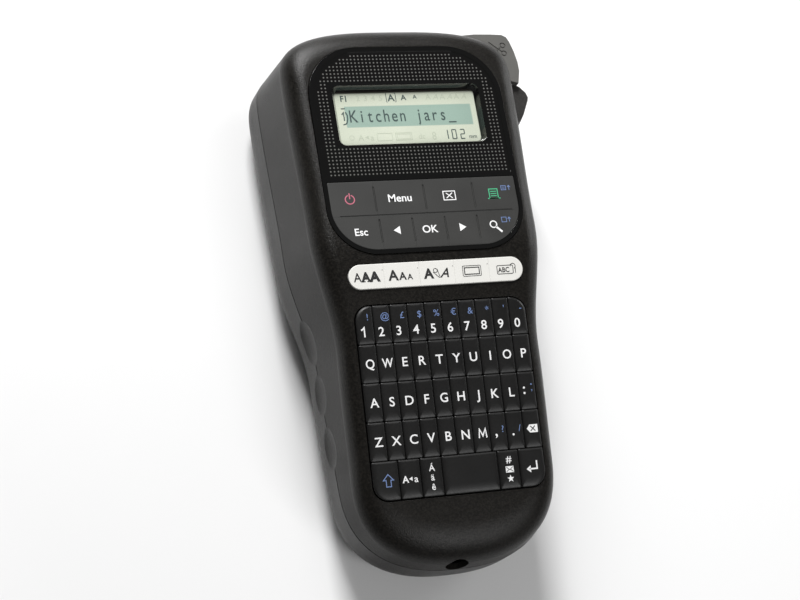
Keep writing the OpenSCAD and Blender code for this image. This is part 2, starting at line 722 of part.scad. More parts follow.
module platen_holder() {
  arm = [platen_x - holder_x, platen_y - holder_y];
  turn = atan2(arm.y, arm.x);
  reach = norm(arm);
  color("#2f4f6b")
  difference() {
    union() {
      for (z = [cassette_z0 - 1, floor_z0 - 1.9])
        translate([holder_x, holder_y, z]) rotate([0, 0, turn]) plate(concat(
          arc(0, 0, 2.4, 90), arc(0, 0, 2.4, 180), arc(reach, 0, 2.4, 270), arc(reach, 0, 2.4, 0)), 0, 1.5);
      rod(holder_x, holder_y, 2.1, cassette_z0 - 0.5, floor_z0 - 1);
    }
    rod(platen_x, platen_y, spindle_r + pin_fit, cassette_z0 - 2, floor_z0 + 1);
    rod(holder_x, holder_y, holder_pin_r + pin_fit, cassette_z0 - 2, floor_z0 + 1);
  }
}

motor_r = 10;
module drive_motor() {
  color(steel_colour) {
    difference() {
      union() {
        rod(pinion_at.x, pinion_at.y, motor_r, gear_z0 + gear_t + 1, face_z - 13.4);
        rod(pinion_at.x, pinion_at.y, 3, gear_z0 + gear_t + 0.3, gear_z0 + gear_t + 1);
      }
      for (s = [-1, 1]) block(pinion_at.x + s * (motor_r + 3) - 4.5, pinion_at.x + s * (motor_r + 3) + 4.5,
        pinion_at.y - 20, pinion_at.y + 20, gear_z0 + gear_t + 2, face_z);
    }
    rod(pinion_at.x, pinion_at.y, 0.7, gear_z0 - 0.2, gear_z0 + gear_t + 0.3);
  }
}

// ---- Supplies -----------------------------------------------------------

module tape_cassette() {
  x0 = -41;
  x1 = 37;
  y0 = exit_y - 49.3;
  y1 = exit_y + 2.6;
  outline = [
    [x0, y0 + 4], [x0 + 4, y0], [x1 - 4, y0], [x1, y0 + 4], [x1, exit_y - 9.5], [platen_x - 11, exit_y - 9.5],
    [platen_x - 11, exit_y + 0.6], [platen_x - 13, y1], [x0 + 4, y1], [x0, y1 - 4]
  ];
  color("#dedad0")
  difference() {
    plate(outline, cassette_z0, cassette_z0 + cassette_t);
    rod(roll_at.x, roll_at.y, roll_r + 1, cassette_z0 + 1.4, cassette_z0 + cassette_t - 1.4);
    rod(roll_at.x, roll_at.y, 5, cassette_z0 - 1, cassette_z0 + 2);
    rod(ribbon_at.x, ribbon_at.y, 3.4, cassette_z0 - 1, cassette_z0 + cassette_t + 1);
    rod(ribbon_at.x, ribbon_at.y, 7.5, cassette_z0 + 1.4, cassette_z0 + cassette_t - 1.4);
    block(platen_x - 13.6, platen_x, exit_y - 0.25, exit_y + 0.25, cassette_z0 + 1.4, cassette_z0 + 15);
  }
}

module tape_roll() {
  z0 = cassette_z0 + (cassette_t - tape_w) / 2;
  color("#f2f0ea") {
    difference() {
      rod(roll_at.x, roll_at.y, roll_r, z0, z0 + tape_w);
      rod(roll_at.x, roll_at.y, 6.4, z0 - 1, z0 + tape_w + 1);
    }
    // label that lies ready in front of the print head
    block(platen_x - 13, 44.6, exit_y - 0.09, exit_y + 0.09, z0, z0 + tape_w);
  }
}

module batteries() {
  color("#8c8f94")
  for (i = [0:5]) {
    s = i % 2 == 0 ? 1 : -1;
    x = (i - 2.5) * cell_dx;
    mid = cell_y0 + spring_l / 2 + cell_l / 2 + 0.2;
    translate([x, mid - s * cell_l / 2, cell_z]) rotate([-90 * s, 0, 0]) {
      cylinder(r = cell_r, h = cell_l - 1, $fn = 48);
      cylinder(r = 1.9, h = cell_l, $fn = 32);
    }
  }
}

module battery_contacts() {
  y_low = cell_y0 - 1.3;
  y_high = cell_y0 + cell_l + spring_l + 0.7;
  color(steel_colour)
  for (i = [0:5]) {
    x = (i - 2.5) * cell_dx;
    for (y = [y_low, y_high]) block(x - 4.6, x + 4.6, y, y + 0.6, cell_z - 5, cell_z + 5);
    // a spring at the flat end of each cell
    low = i % 2 == 0;
    translate([x, low ? y_low + 0.6 : y_high, cell_z]) rotate([low ? -90 : 90, 0, 0])
      coil(2.6, 0.35, 0.7, 3, 0);
  }
}

module dc_jack() {
  color("#18181a")
  difference() {
    block(jack_x - 4.7, jack_x + 4.7, jack_y0, jack_y0 + 13, jack_z - 4.4, jack_z + 3.8);
    translate([jack_x, jack_y0 - 1, jack_z]) rotate([-90, 0, 0]) cylinder(r = jack_r, h = 10.5, $fn = 48);
  }
}

module case_screws() {
  color(steel_colour)
  for (p = screw_places) {
    difference() {
      rod(p.x, p.y, 2.1, screw_seat_z - 1.5, screw_seat_z - 0.02);
      for (a = [0, 90]) translate([p.x, p.y, screw_seat_z - 2]) rotate([0, 0, a])
        translate([-1.2, -0.25, 0]) cube([2.4, 0.5, 1.2]);
    }
    rod(p.x, p.y, screw_r - 0.17, screw_seat_z - 0.02, screw_tip_z - 2);
  }
}

// ---- Keys ---------------------------------------------------------------

// One moulded key of the dark function sheet, cut from the sheet's outline
module function_key(x0, x1, y0, y1) {
  seam = 0.12;
  color(sheet_colour)
  on_head()
  intersection() {
    plate(panel_outline(ring_w + seam), -sheet_t, 0.2);
    block(x0 + seam, x1 - seam, y0 + seam, y1 - seam, -5, 3);
  }
}
row_split = 13.6;
function_dx = 19.5;
arrow_dx = 12.8;
module upper_key(i) {
  edge = [-40, -function_dx, 0, function_dx, 40];
  function_key(edge[i], edge[i + 1], ring_w + row_split, sheet_y1);
}
module lower_key(i) {
  edge = [-40, -1.5 * arrow_dx, -0.5 * arrow_dx, 0.5 * arrow_dx, 1.5 * arrow_dx, 40];
  function_key(edge[i], edge[i + 1], 0, ring_w + row_split);
}
module key_power() upper_key(0);
module key_menu() upper_key(1);
module key_clear() upper_key(2);
module key_print() upper_key(3);
module key_escape() lower_key(0);
module key_left() lower_key(1);
module key_ok() lower_key(2);
module key_right() lower_key(3);
module key_preview() lower_key(4);

// One key of the white strip
module strip_key(i) {
  w = 2 * strip_hw / 5;
  seam = 0.06;
  color("#f0efe9")
  on_keys()
  intersection() {
    plate(strip_outline(0.2), -key_depth, 0.6);
    block(-strip_hw + i * w + seam, -strip_hw + (i + 1) * w - seam, strip_y - 9, strip_y + 9, -5, 3);
  }
}
module key_font() strip_key(0);
module key_size() strip_key(1);
module key_style() strip_key(2);
module key_frame() strip_key(3);
module key_preset() strip_key(4);

// A letter key: columns are counted from the left edge and rows from the top
module letter_key(col, width, row) {
  x0 = -5 * key_dx + col * key_dx;
  y1 = keyboard_top - gap - row * key_dy;
  seam = 0.13;
  color(key_colour)
  on_keys()
  intersection() {
    plate(keyboard_outline(gap), -key_depth, key_proud);
    plate(panel_points(x0 + seam, x0 + width * key_dx - seam, y1 - key_dy + seam, y1 - seam, 0.8, 0.8, 3), -5, 3);
  }
}
module key_row(row, count) {
  for (c = [0:count - 1]) letter_key(c, 1, row);
}
module keys_row_numbers() key_row(0, 10);
module keys_row_q() key_row(1, 10);
module keys_row_a() key_row(2, 10);
module keys_row_z() key_row(3, 9);
module key_backspace() letter_key(9, 1, 3);
module key_shift() letter_key(0, 1.5, 4);
module key_caps() letter_key(1.5, 1.25, 4);
module key_accent() letter_key(2.75, 1.25, 4);
module key_space() letter_key(4, 3.25, 4);
module key_symbol() letter_key(7.25, 1.25, 4);
module key_enter() letter_key(8.5, 1.5, 4);

front_case();
rear_case();
back_cover();
cover_latch();
screen_bezel();
screen_lens();
lcd_module();
lcd_holder();
key_mat();
main_board();
display_board();
flat_cable();
cutter_lever();
lever_pin();
lever_spring();
cutter_blade();
cutter_anvil();
tape_guard();
print_head();
head_bracket();
print_chassis();
platen_roller();
platen_gear();
platen_holder();
drive_motor();
motor_pinion();
idler_gear_large();
idler_gear_small();
ribbon_spindle();
tape_cassette();
tape_roll();
batteries();
battery_contacts();
dc_jack();
case_screws();
key_power();
key_menu();
key_clear();
key_print();
key_escape();
key_left();
key_ok();
key_right();
key_preview();
key_font();
key_size();
key_style();
key_frame();
key_preset();
keys_row_numbers();
keys_row_q();
keys_row_a();
keys_row_z();
key_backspace();
key_shift();
key_caps();
key_accent();
key_space();
key_symbol();
key_enter();
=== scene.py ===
import bmesh
import bpy
import math
from mathutils import Matrix, Vector


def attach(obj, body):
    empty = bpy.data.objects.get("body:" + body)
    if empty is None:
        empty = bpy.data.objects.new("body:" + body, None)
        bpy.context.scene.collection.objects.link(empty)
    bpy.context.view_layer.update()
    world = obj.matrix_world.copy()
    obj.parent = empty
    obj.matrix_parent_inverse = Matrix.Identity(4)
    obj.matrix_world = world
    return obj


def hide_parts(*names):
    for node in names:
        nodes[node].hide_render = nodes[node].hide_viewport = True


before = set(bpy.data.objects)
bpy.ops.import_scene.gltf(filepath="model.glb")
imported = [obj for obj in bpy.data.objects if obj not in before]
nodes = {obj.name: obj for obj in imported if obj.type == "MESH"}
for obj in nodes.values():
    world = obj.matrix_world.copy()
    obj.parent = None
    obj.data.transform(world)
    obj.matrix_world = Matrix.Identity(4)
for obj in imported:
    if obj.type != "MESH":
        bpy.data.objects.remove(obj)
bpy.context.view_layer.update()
mm = 0.001
print("frame loaded")


def newObject(name, bm, sharp=35, weighted=True):
    for face in bm.faces:
        face.smooth = True
    for edge in bm.edges:
        edge.smooth = len(edge.link_faces) == 2 and edge.calc_face_angle(0) < math.radians(sharp)
    mesh = bpy.data.meshes.new(name)
    bm.to_mesh(mesh)
    bm.free()
    obj = bpy.data.objects.new(name, mesh)
    bpy.context.scene.collection.objects.link(obj)
    if weighted:
        mod = obj.modifiers.new("weighted", "WEIGHTED_NORMAL")
        mod.keep_sharp = True
    return obj


def scaled(bm, factor=mm):
    bmesh.ops.scale(bm, vec=(factor, factor, factor), verts=bm.verts)
    return bm


def place(bm, matrix):
    bmesh.ops.transform(bm, matrix=matrix, verts=bm.verts)
    return bm


def joined(parts):
    whole = bmesh.new()
    for part in parts:
        mesh = bpy.data.meshes.new("part")
        part.to_mesh(mesh)
        part.free()
        whole.from_mesh(mesh)
        bpy.data.meshes.remove(mesh)
    return whole


def prism(points, z0, z1):
    # an outline in millimetres, pushed up from z0 to z1
    bm = bmesh.new()
    ring = [bm.verts.new((x, y, z0)) for x, y in points]
    face = bm.faces.new(ring)
    made = bmesh.ops.extrude_face_region(bm, geom=[face], use_keep_orig=True)
    risen = [v for v in made["geom"] if isinstance(v, bmesh.types.BMVert)]
    bmesh.ops.translate(bm, vec=(0, 0, z1 - z0), verts=risen)
    bmesh.ops.recalc_face_normals(bm, faces=bm.faces)
    return bm


def brick(x0, x1, y0, y1, z0, z1):
    bm = bmesh.new()
    bmesh.ops.create_cube(bm, size=1)
    bmesh.ops.scale(bm, vec=(x1 - x0, y1 - y0, z1 - z0), verts=bm.verts)
    bmesh.ops.translate(bm, vec=((x0 + x1) / 2, (y0 + y1) / 2, (z0 + z1) / 2), verts=bm.verts)
    return bm


def rod(x, y, r, z0, z1, sides=40):
    bm = bmesh.new()
    bmesh.ops.create_cone(bm, cap_ends=True, segments=sides, radius1=r, radius2=r, depth=z1 - z0)
    bmesh.ops.translate(bm, vec=(x, y, (z0 + z1) / 2), verts=bm.verts)
    return bm


def arc(cx, cy, r, start, steps=10):
    return [(cx + r * math.cos(math.radians(start + 90 * i / steps)),
             cy + r * math.sin(math.radians(start + 90 * i / steps))) for i in range(steps + 1)]


def roundedBox(x0, x1, y0, y1, lowR, highR, steps=10):
    return (arc(x0 + lowR, y0 + lowR, lowR, 180, steps) + arc(x1 - lowR, y0 + lowR, lowR, 270, steps)
            + arc(x1 - highR, y1 - highR, highR, 0, steps) + arc(x0 + highR, y1 - highR, highR, 90, steps))


def carve(bm, tools, operation="DIFFERENCE"):
    # takes the tools from bm one after another (or adds them) and gives the new shape
    def keep(shape):
        mesh = bpy.data.meshes.new("carve")
        shape.to_mesh(mesh)
        shape.free()
        obj = bpy.data.objects.new("carve", mesh)
        bpy.context.scene.collection.objects.link(obj)
        return obj
    target = keep(bm)
    for tool in tools:
        other = keep(tool)
        mod = target.modifiers.new("cut", "BOOLEAN")
        mod.operation = operation
        mod.solver = "MANIFOLD"
        mod.object = other
        graph = bpy.context.evaluated_depsgraph_get()
        mesh = bpy.data.meshes.new_from_object(target.evaluated_get(graph))
        if len(mesh.vertices) == 0:
            raise ValueError("a carved shape came out empty")
        target.modifiers.clear()
        old = target.data
        target.data = mesh
        bpy.data.meshes.remove(old)
        mesh = other.data
        bpy.data.objects.remove(other)
        bpy.data.meshes.remove(mesh)
    out = bmesh.new()
    out.from_mesh(target.data)
    mesh = target.data
    bpy.data.objects.remove(target)
    bpy.data.meshes.remove(mesh)
    return out


def put(obj, body, finish, replaced=()):
    obj.data.materials.clear()
    obj.data.materials.append(finish)
    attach(obj, body)
    if replaced:
        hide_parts(*replaced)
    return obj


def cadCopy(node):
    bm = bmesh.new()
    bm.from_mesh(nodes[node].data)
    bmesh.ops.remove_doubles(bm, verts=bm.verts, dist=1e-6)
    bmesh.ops.dissolve_limit(bm, angle_limit=math.radians(1), verts=bm.verts, edges=bm.edges)
    return scaled(bm, 1 / mm)


def roundEdges(bm, width, segments=2, above=35, only=None):
    edges = [e for e in bm.edges if len(e.link_faces) == 2 and e.calc_face_angle(0) > math.radians(above)
             and (only is None or only(e))]
    bmesh.ops.bevel(bm, geom=edges, offset=width, offset_type="OFFSET", segments=segments, profile=0.5,
                    affect="EDGES", clamp_overlap=True, material=-1)
    return bm


class Sock:
    def __init__(self, finish, out):
        self.finish, self.out = finish, out

    def maths(self, operation, a, b=0.0):
        return self.finish.node("ShaderNodeMath", {"operation": operation}, {0: a, 1: b})

    def __add__(self, other):
        return self.maths("ADD", self, other)

    def __radd__(self, other):
        return self.maths("ADD", other, self)

    def __sub__(self, other):
        return self.maths("SUBTRACT", self, other)

    def __rsub__(self, other):
        return self.maths("SUBTRACT", other, self)

    def __mul__(self, other):
        return self.maths("MULTIPLY", self, other)

    def __rmul__(self, other):
        return self.maths("MULTIPLY", other, self)

    def __truediv__(self, other):
        return self.maths("DIVIDE", self, other)

    def __pow__(self, other):
        return self.maths("POWER", self, other)

    def __lt__(self, other):
        return self.maths("LESS_THAN", self, other)

    def __gt__(self, other):
        return self.maths("GREATER_THAN", self, other)

    def __abs__(self):
        return self.maths("ABSOLUTE", self)

    def fract(self):
        return self.maths("FRACT", self)

    def floor(self):
        return self.maths("FLOOR", self)

    def larger(self, other):
        return self.maths("MAXIMUM", self, other)


class Finish:
    def __init__(self, name, **fixed):
        self.mat = bpy.data.materials.new(name)
        self.mat.use_nodes = True
        self.tree = self.mat.node_tree
        self.tree.nodes.clear()
        self.shader = self.tree.nodes.new("ShaderNodeBsdfPrincipled")
        output = self.tree.nodes.new("ShaderNodeOutputMaterial")
        self.tree.links.new(self.shader.outputs[0], output.inputs["Surface"])
        for key, value in fixed.items():
            self.shader.inputs[key.replace("_", " ")].default_value = value

    def node(self, kind, settings, inputs, out=0):
        made = self.tree.nodes.new(kind)
        for key, value in settings.items():
            setattr(made, key, value)
        for key, value in inputs.items():
            if isinstance(value, Sock):
                self.tree.links.new(value.out, made.inputs[key])
            else:
                made.inputs[key].default_value = value
        return Sock(self, made.outputs[out])

    def feed(self, name, value):
        self.tree.links.new(value.out, self.shader.inputs[name])

    def place(self):
        return self.node("ShaderNodeTexCoord", {}, {}, "Object")

    def axes(self):
        place = self.place()
        return [self.node("ShaderNodeSeparateXYZ", {}, {0: place}, i) for i in range(3)]

    def noise(self, scale, detail=2.0, rough=0.5, vector=None):
        return self.node("ShaderNodeTexNoise", {}, {
            "Vector": vector or self.place(), "Scale": scale, "Detail": detail, "Roughness": rough}, 0)

    def stretch(self, scale):
        return self.node("ShaderNodeVectorMath", {"operation": "MULTIPLY"}, {0: self.place(), 1: scale})

    def blend(self, share, a, b):
        # a where share is 0, b where it is 1
        return self.node("ShaderNodeMix", {"data_type": "RGBA"}, {0: share, 6: a, 7: b}, 2)

    def bump(self, height, distance, strength=1.0):
        self.feed("Normal", self.node("ShaderNodeBump", {}, {
            "Height": height, "Distance": distance, "Strength": strength}))

    def span(self, value, low, high, outLow, outHigh):
        return self.node("ShaderNodeMapRange", {}, {0: value, 1: low, 2: high, 3: outLow, 4: outHigh})


def tint(colour, factor):
    return tuple(min(1, c * factor) for c in colour[:3]) + (1,)


def moulded(name, colour, rough, grain=1500, depth=0.00002, spread=0.12, patch=0.15, speck=0.0, **fixed):
    # a moulded plastic or rubber: fine grain, and faint broad changes of tone and gloss
    f = Finish(name, **fixed)
    fine = f.noise(grain, 3, 0.6)
    broad = f.noise(55, 2, 0.5)
    tone = f.blend(f.span(broad, 0.3, 0.7, 0, 1), tint(colour, 1 - patch), tint(colour, 1 + patch))
    if speck:
        tone = f.blend(f.span(f.noise(grain * 0.6, 2, 0.7), 0.42, 0.62, 0, speck), tone, tint(colour, 2.6))
    f.feed("Base Color", tone)
    f.feed("Roughness", f.span(fine * 0.6 + broad * 0.4, 0.3, 0.7, rough - spread / 2, rough + spread / 2))
    f.bump(fine, depth)
    return f.mat


def metal(name, colour, rough, across=(300, 300, 6000), depth=0.000004):
    f = Finish(name, Metallic=1.0)
    lines = f.noise(1.0, 2, 0.5, f.stretch(across))
    broad = f.noise(90, 2, 0.5)
    f.feed("Base Color", f.blend(f.span(broad, 0.3, 0.7, 0, 1), tint(colour, 0.88), tint(colour, 1.06)))
    f.feed("Roughness", f.span(lines * 0.7 + broad * 0.3, 0.3, 0.7, rough - 0.08, rough + 0.08))
    f.bump(lines, depth)
    return f.mat


finishes = {
    "case": moulded("casePlastic", (0.0060, 0.0054, 0.0046), 0.34, 1900, 0.00012, 0.16, speck=0.8,
                    Specular_IOR_Level=0.2),
    "key": moulded("keyPlastic", (0.0042, 0.0040, 0.0038), 0.42, 1500, 0.000014, Specular_IOR_Level=0.4),
    "sheet": moulded("sheetRubber", (0.019, 0.019, 0.0175), 0.55, 2200, 0.000012),
    "strip": moulded("stripRubber", (0.80, 0.79, 0.75), 0.5, 2400, 0.00001, patch=0.03),
    "lever": moulded("leverPlastic", (0.095, 0.093, 0.086), 0.55, 1500, 0.00006),
    "guard": moulded("guardPlastic", (0.008, 0.007, 0.006), 0.5, 1500, 0.00008, speck=0.8),
    "steel": metal("brushedSteel", (0.55, 0.56, 0.57), 0.35),
    "wire": metal("drawnWire", (0.5, 0.51, 0.53), 0.3, (900, 900, 900)),
    "brass": metal("turnedBrass", (0.62, 0.44, 0.17), 0.3),
    "gear": moulded("gearPlastic", (0.62, 0.59, 0.5), 0.45, 900, 0.00001, patch=0.06),
    "holder": moulded("holderPlastic", (0.035, 0.075, 0.14), 0.45, 900, 0.00002),
    "cassette": moulded("cassettePlastic", (0.60, 0.58, 0.52), 0.4, 1200, 0.00002, patch=0.06),
    "white": moulded("whitePlastic", (0.68, 0.67, 0.63), 0.45, 1200, 0.00002, patch=0.06),
    "tape": moulded("tapeFilm", (0.80, 0.79, 0.76), 0.35, 2600, 0.000004, patch=0.03),
    "platen": moulded("platenRubber", (0.03, 0.03, 0.033), 0.75, 2600, 0.00004),
    "mat": moulded("matRubber", (0.05, 0.05, 0.055), 0.7, 1800, 0.00002),
    "film": moulded("cableFilm", (0.42, 0.27, 0.09), 0.35, 1200, 0.000004),
    "ceramic": moulded("ceramic", (0.72, 0.70, 0.62), 0.2, 1200, 0.000002, patch=0.04),
    "jack": moulded("jackPlastic", (0.012, 0.012, 0.013), 0.4, 1500, 0.00001),
    "ink": moulded("whiteInk", (0.86, 0.86, 0.86), 0.45, 2600, 0.000002, patch=0.02),
    "blueInk": moulded("blueInk", (0.15, 0.22, 0.42), 0.45, 2600, 0.000002, patch=0.03),
    "darkInk": moulded("darkInk", (0.02, 0.02, 0.02), 0.5, 2600, 0.000002, patch=0.05),
    "greyInk": moulded("greyInk", (0.4, 0.39, 0.37), 0.5, 2600, 0.000002, patch=0.05),
    "greenInk": moulded("greenInk", (0.06, 0.42, 0.21), 0.45, 2600, 0.000002, patch=0.03),
    "redInk": moulded("redInk", (0.52, 0.14, 0.20), 0.45, 2600, 0.000002, patch=0.03),
}
print("finishes made")


# the case surface follows the same rules as the part's source, in millimetres
body = {
    "length": 207, "grip": 40.8, "waist": 42.3, "shoulder": 48.9, "head": 50.5, "face": 58.75,
    "tilt": 9.2, "bend": 9.3, "soft": 3, "parting": 27, "seam": 8, "wall": 2.2,
    "footCorner": 34, "footPower": 2.4, "headCorner": 22, "headPower": 3.1,
    "gripAt": -0.386, "waistBack": 35, "shoulderOn": 11, "headBack": 24,
    "crownDrop": 8.5, "crownHead": 8, "crownGrip": 6.5, "crownFootEnd": 14, "crownHeadEnd": 10,
    "draft": 0.165, "rearDraft": -0.05, "rearReach": 12, "rearRise": 17, "gap": 0.3, "stations": 100,
}
halfL = body["length"] / 2
gripY = body["gripAt"] * body["length"]
waistY = body["bend"] - body["waistBack"]
shoulderY = body["bend"] + body["shoulderOn"]
headY = halfL - body["headBack"]


def ease(t):
    t = max(0, min(1, t))
    return t * t * (3 - 2 * t)


def mix(a, b, t):
    return a + (b - a) * t


def sideX(y):
    return (body["grip"] + (body["waist"] - body["grip"]) * ease((y - gripY) / (waistY - gripY))
            + (body["shoulder"] - body["waist"]) * ease((y - waistY) / (shoulderY - waistY))
            + (body["head"] - body["shoulder"]) * ease((y - shoulderY) / (headY - shoulderY)))


def corner(d, a, p):
    return 1 if d >= a else max(0, 1 - max(0, 1 - d / a) ** p) ** (1 / p)


def faceAt(y):
    d, soft = body["bend"] - y, body["soft"]
    return body["face"] - math.tan(math.radians(body["tilt"])) * (d + math.sqrt(d * d + soft * soft)) / 2


def headShare(y):
    return ease((y - waistY) / (shoulderY - waistY))


def ring(foot, head, inset, height):
    count = body["stations"]
    right = []
    for i in range(count + 1):
        y = mix(-halfL + foot, halfL - head, (1 - math.cos(math.pi * i / count)) / 2)
        low = corner(y + halfL - foot, body["footCorner"] - foot / 2, body["footPower"])
        high = corner(halfL - head - y, body["headCorner"] - head / 2, body["headPower"])
        right.append(((sideX(y) - inset(y)) * low * high, y, height(y)))
    left = [(-x, y, z) for x, y, z in right[1:-1]]
    return [(0, right[0][1], right[0][2])] + right[1:-1] + [(0, right[-1][1], right[-1][2])] + left[::-1]


def crownRing(degrees, t):
    rise = math.sin(math.radians(degrees))
    reach = 1 - math.cos(math.radians(degrees))
    start = body["draft"] * (faceAt(-halfL) - body["crownDrop"] - body["parting"])
    return ring(
        start + (body["crownFootEnd"] - t) * reach + t,
        (body["crownHeadEnd"] - t) * reach + t,
        lambda y: body["draft"] * (faceAt(y) - body["crownDrop"] - body["parting"])
        + (mix(body["crownGrip"], body["crownHead"], headShare(y)) - t) * reach + t,
        lambda y: faceAt(y) - t - (body["crownDrop"] - t) * (1 - rise))


def backInset(y, z):
    low = max(0, (body["rearRise"] - z) / body["rearRise"])
    return (body["rearDraft"] * headShare(y) * (body["parting"] - z)
            + body["rearReach"] * (1 - math.sqrt(max(0, 1 - low * low))))


def backRing(z, t=0):
    return ring(backInset(-halfL, z) + t, backInset(halfL, z) + t, lambda y: backInset(y, z) + t, lambda y: z)


def drawn(rings):
    # a ring of edges drawn up through the rings, and its first and last loops
    bm = bmesh.new()
    count = len(rings[0])
    current = bmesh.ops.create_circle(bm, segments=count, radius=1)["verts"]
    loops = []
    for points in rings:
        if loops:
            edges = [bm.edges.get((a, b)) for a, b in zip(current, current[1:] + current[:1])]
            made = bmesh.ops.extrude_edge_only(bm, edges=edges)
            fresh = {g for g in made["geom"] if isinstance(g, bmesh.types.BMVert)}
            current = [next(e.other_vert(v) for e in v.link_edges if e.other_vert(v) in fresh)
                       for v in current]
        for v, p in zip(current, points):
            v.co = p
        loops.append(current)
    ends = []
    for end in (loops[0], loops[-1]):
        edges = [bm.edges.get((a, b)) for a, b in zip(end, end[1:] + end[:1])]
        ends.append((end, bmesh.ops.edgeloop_fill(bm, edges=edges)["faces"][0]))
    return bm, ends


def loft(rings):
    # the case is left and right alike, so both ends are closed as a ladder across it
    bm, ends = drawn(rings)
    count = len(rings[0])
    for end, face in ends:
        for i in range(1, count // 2):
            rung = {end[i], end[count - i]}
            face = next(f for f in end[i].link_faces if rung <= set(f.verts))
            if not any(set(e.verts) == rung for e in face.edges):
                bmesh.utils.face_split(face, end[i], end[count - i])
    bmesh.ops.recalc_face_normals(bm, faces=bm.faces)
    return bm


def atHeight(points, z):
    return [(x, y, z) for x, y, _ in points]


headPlane = Matrix.Translation((0, body["bend"], body["face"]))
keyPlane = headPlane @ Matrix.Rotation(math.radians(body["tilt"]), 4, "X")

panel = {"half": 38.7, "length": 84.3, "topR": 21, "lowR": 18, "ring": 1.6, "sheetTop": 29.1}
strip = {"y": -8.2, "half": 34.3, "height": 9.6}
keyboard = {"dx": 6.64, "dy": 14.16, "top": -18.6, "r": 6}
keyboard["half"] = 5 * keyboard["dx"] + body["gap"]
keyboard["bottom"] = keyboard["top"] - 5 * keyboard["dy"] - 2 * body["gap"]


def panelOutline(d, steps=14):
    return roundedBox(-panel["half"] + d, panel["half"] - d, d, panel["length"] - d,
                      panel["lowR"] - d, panel["topR"] - d, steps)


def stripOutline(d):
    r = strip["height"] / 2 - d - 0.01
    return roundedBox(-strip["half"] + d, strip["half"] - d, strip["y"] - strip["height"] / 2 + d,
                      strip["y"] + strip["height"] / 2 - d, r, r)


def keyboardOutline(d):
    r = keyboard["r"] - d
    x = keyboard["half"] - d
    return roundedBox(-x, x, keyboard["bottom"] + d, keyboard["top"] - d, r, r)


def opening(outline, low, flare=0.3):
    # a cutter for an opening in the face, wider where it meets the face, so that its edge is eased
    levels = [(0, low), (0, -flare)]
    for a in (math.radians(degrees) for degrees in (30, 60, 90)):
        levels.append((flare * (1 - math.cos(a)), flare * math.sin(a) - flare))
    levels.append((flare, 5))          # well above the face
    return drawn([[(x, y, z) for x, y in outline(-d)] for d, z in levels])[0]


side = {
    "pocketLow": 10, "pocketHigh": 50.05, "pocketX": 42.5, "exitY": halfL - 18.2, "guardFoot": halfL - 37.1,
    "far": 15, "skin": 1.6, "postR": 2.8, "seat": 16, "screwR": 1.35, "screwHead": 2.3,
    "jackX": -2, "jackZ": 31.5, "jackR": 4.35, "jackL": 9,
    "screws": [(27, -halfL + 13.5), (-27, -halfL + 13.5), (37.5, 0), (-37.5, 0), (-33, halfL - 7.5),
               (4, halfL - 5.4)],
}


def pocketPoints(d):
    # outline of the space for the lever and the tape's way out, d wider
    x, foot, far = side["pocketX"], side["guardFoot"], body["head"] + side["far"]
    return [(29 - d, halfL + 10), (29 - d, halfL - 6.5 - d / 2), (31.5 - d, halfL - 14.5 - d),
            (x - d, halfL - 15.6 - d), (x - d, foot - 0.3 - d), (far, foot - 0.3 - d), (far, halfL + 10)]


# three finger dimples on each side, across the line where the shells meet; share is how much of the
# ball's half width is left at the wall
dimples = {"ys": (-13, -33.5, -54), "z": 27, "halfY": 8.3, "halfZ": 7.6, "depth": 1.15, "share": 0.74,
           "step": 3}


def dimpleTools():
    tools = []
    share = dimples["share"]
    reach = dimples["depth"] / (1 - math.sqrt(1 - share * share))
    for y in dimples["ys"]:
        lean = math.atan((sideX(y + dimples["step"]) - sideX(y - dimples["step"])) / (2 * dimples["step"]))
        out = sideX(y) + reach - dimples["depth"]
        for sign in (-1, 1):
            ball = bmesh.new()
            bmesh.ops.create_uvsphere(ball, u_segments=48, v_segments=32, radius=1)
            size = (reach, dimples["halfY"] / share, dimples["halfZ"] / share)
            bmesh.ops.scale(ball, vec=size, verts=ball.verts)
            there = Matrix.Translation((sign * out, y, dimples["z"]))
            tools.append(place(ball, there @ Matrix.Rotation(-sign * lean, 4, "Z")))
    return tools


def leverPocket():
    return prism(pocketPoints(0), side["pocketLow"], side["pocketHigh"])


frontShape = {"lip": 0.3, "ease": 0.06, "rise": 0.24, "step": 5, "innerStep": 15, "ledge": 1.6,
              "ledgeLow": -4.5}


def makeFrontShell():
    f, low, w = frontShape, body["parting"], body["wall"]
    rims = [(f["lip"], low), (f["ease"], low + f["rise"])]
    outer = loft([ring(d, d, lambda y: d, lambda y: z) for d, z in rims]
                 + [crownRing(a, 0) for a in range(0, 91, f["step"])])
    inner = loft([ring(w, w, lambda y: w, lambda y: low - 0.2)]
                 + [crownRing(a, w) for a in range(0, 91, f["innerStep"])])
    keep = [prism(pocketPoints(side["skin"]), low - 1, side["pocketHigh"] + side["skin"])]
    keep += [rod(x, y, side["postR"], low - 1, body["face"]) for x, y in side["screws"]]
    x, y = panel["half"] + f["ledge"], panel["length"] + f["ledge"]
    ledge = prism(roundedBox(-x, x, -f["ledge"], y, panel["lowR"], panel["topR"]), f["ledgeLow"], 0)
    inner = carve(inner, keep + [place(ledge, headPlane)])
    holes = [leverPocket(), place(opening(panelOutline, -6), headPlane),
             place(opening(lambda d: stripOutline(d - 0.05), -8, 0.2), keyPlane),
             place(opening(lambda d: keyboardOutline(d - 0.05), -8), keyPlane)]
    there = Matrix.Translation((side["jackX"], -halfL - 1, side["jackZ"]))
    there = there @ Matrix.Rotation(-math.pi / 2, 4, "X")
    jack = place(rod(0, 0, side["jackR"], 0, side["jackL"], 48), there)
    shell = carve(outer, [inner] + holes + [jack] + dimpleTools())
    return newObject("frontShell", scaled(shell), 40)


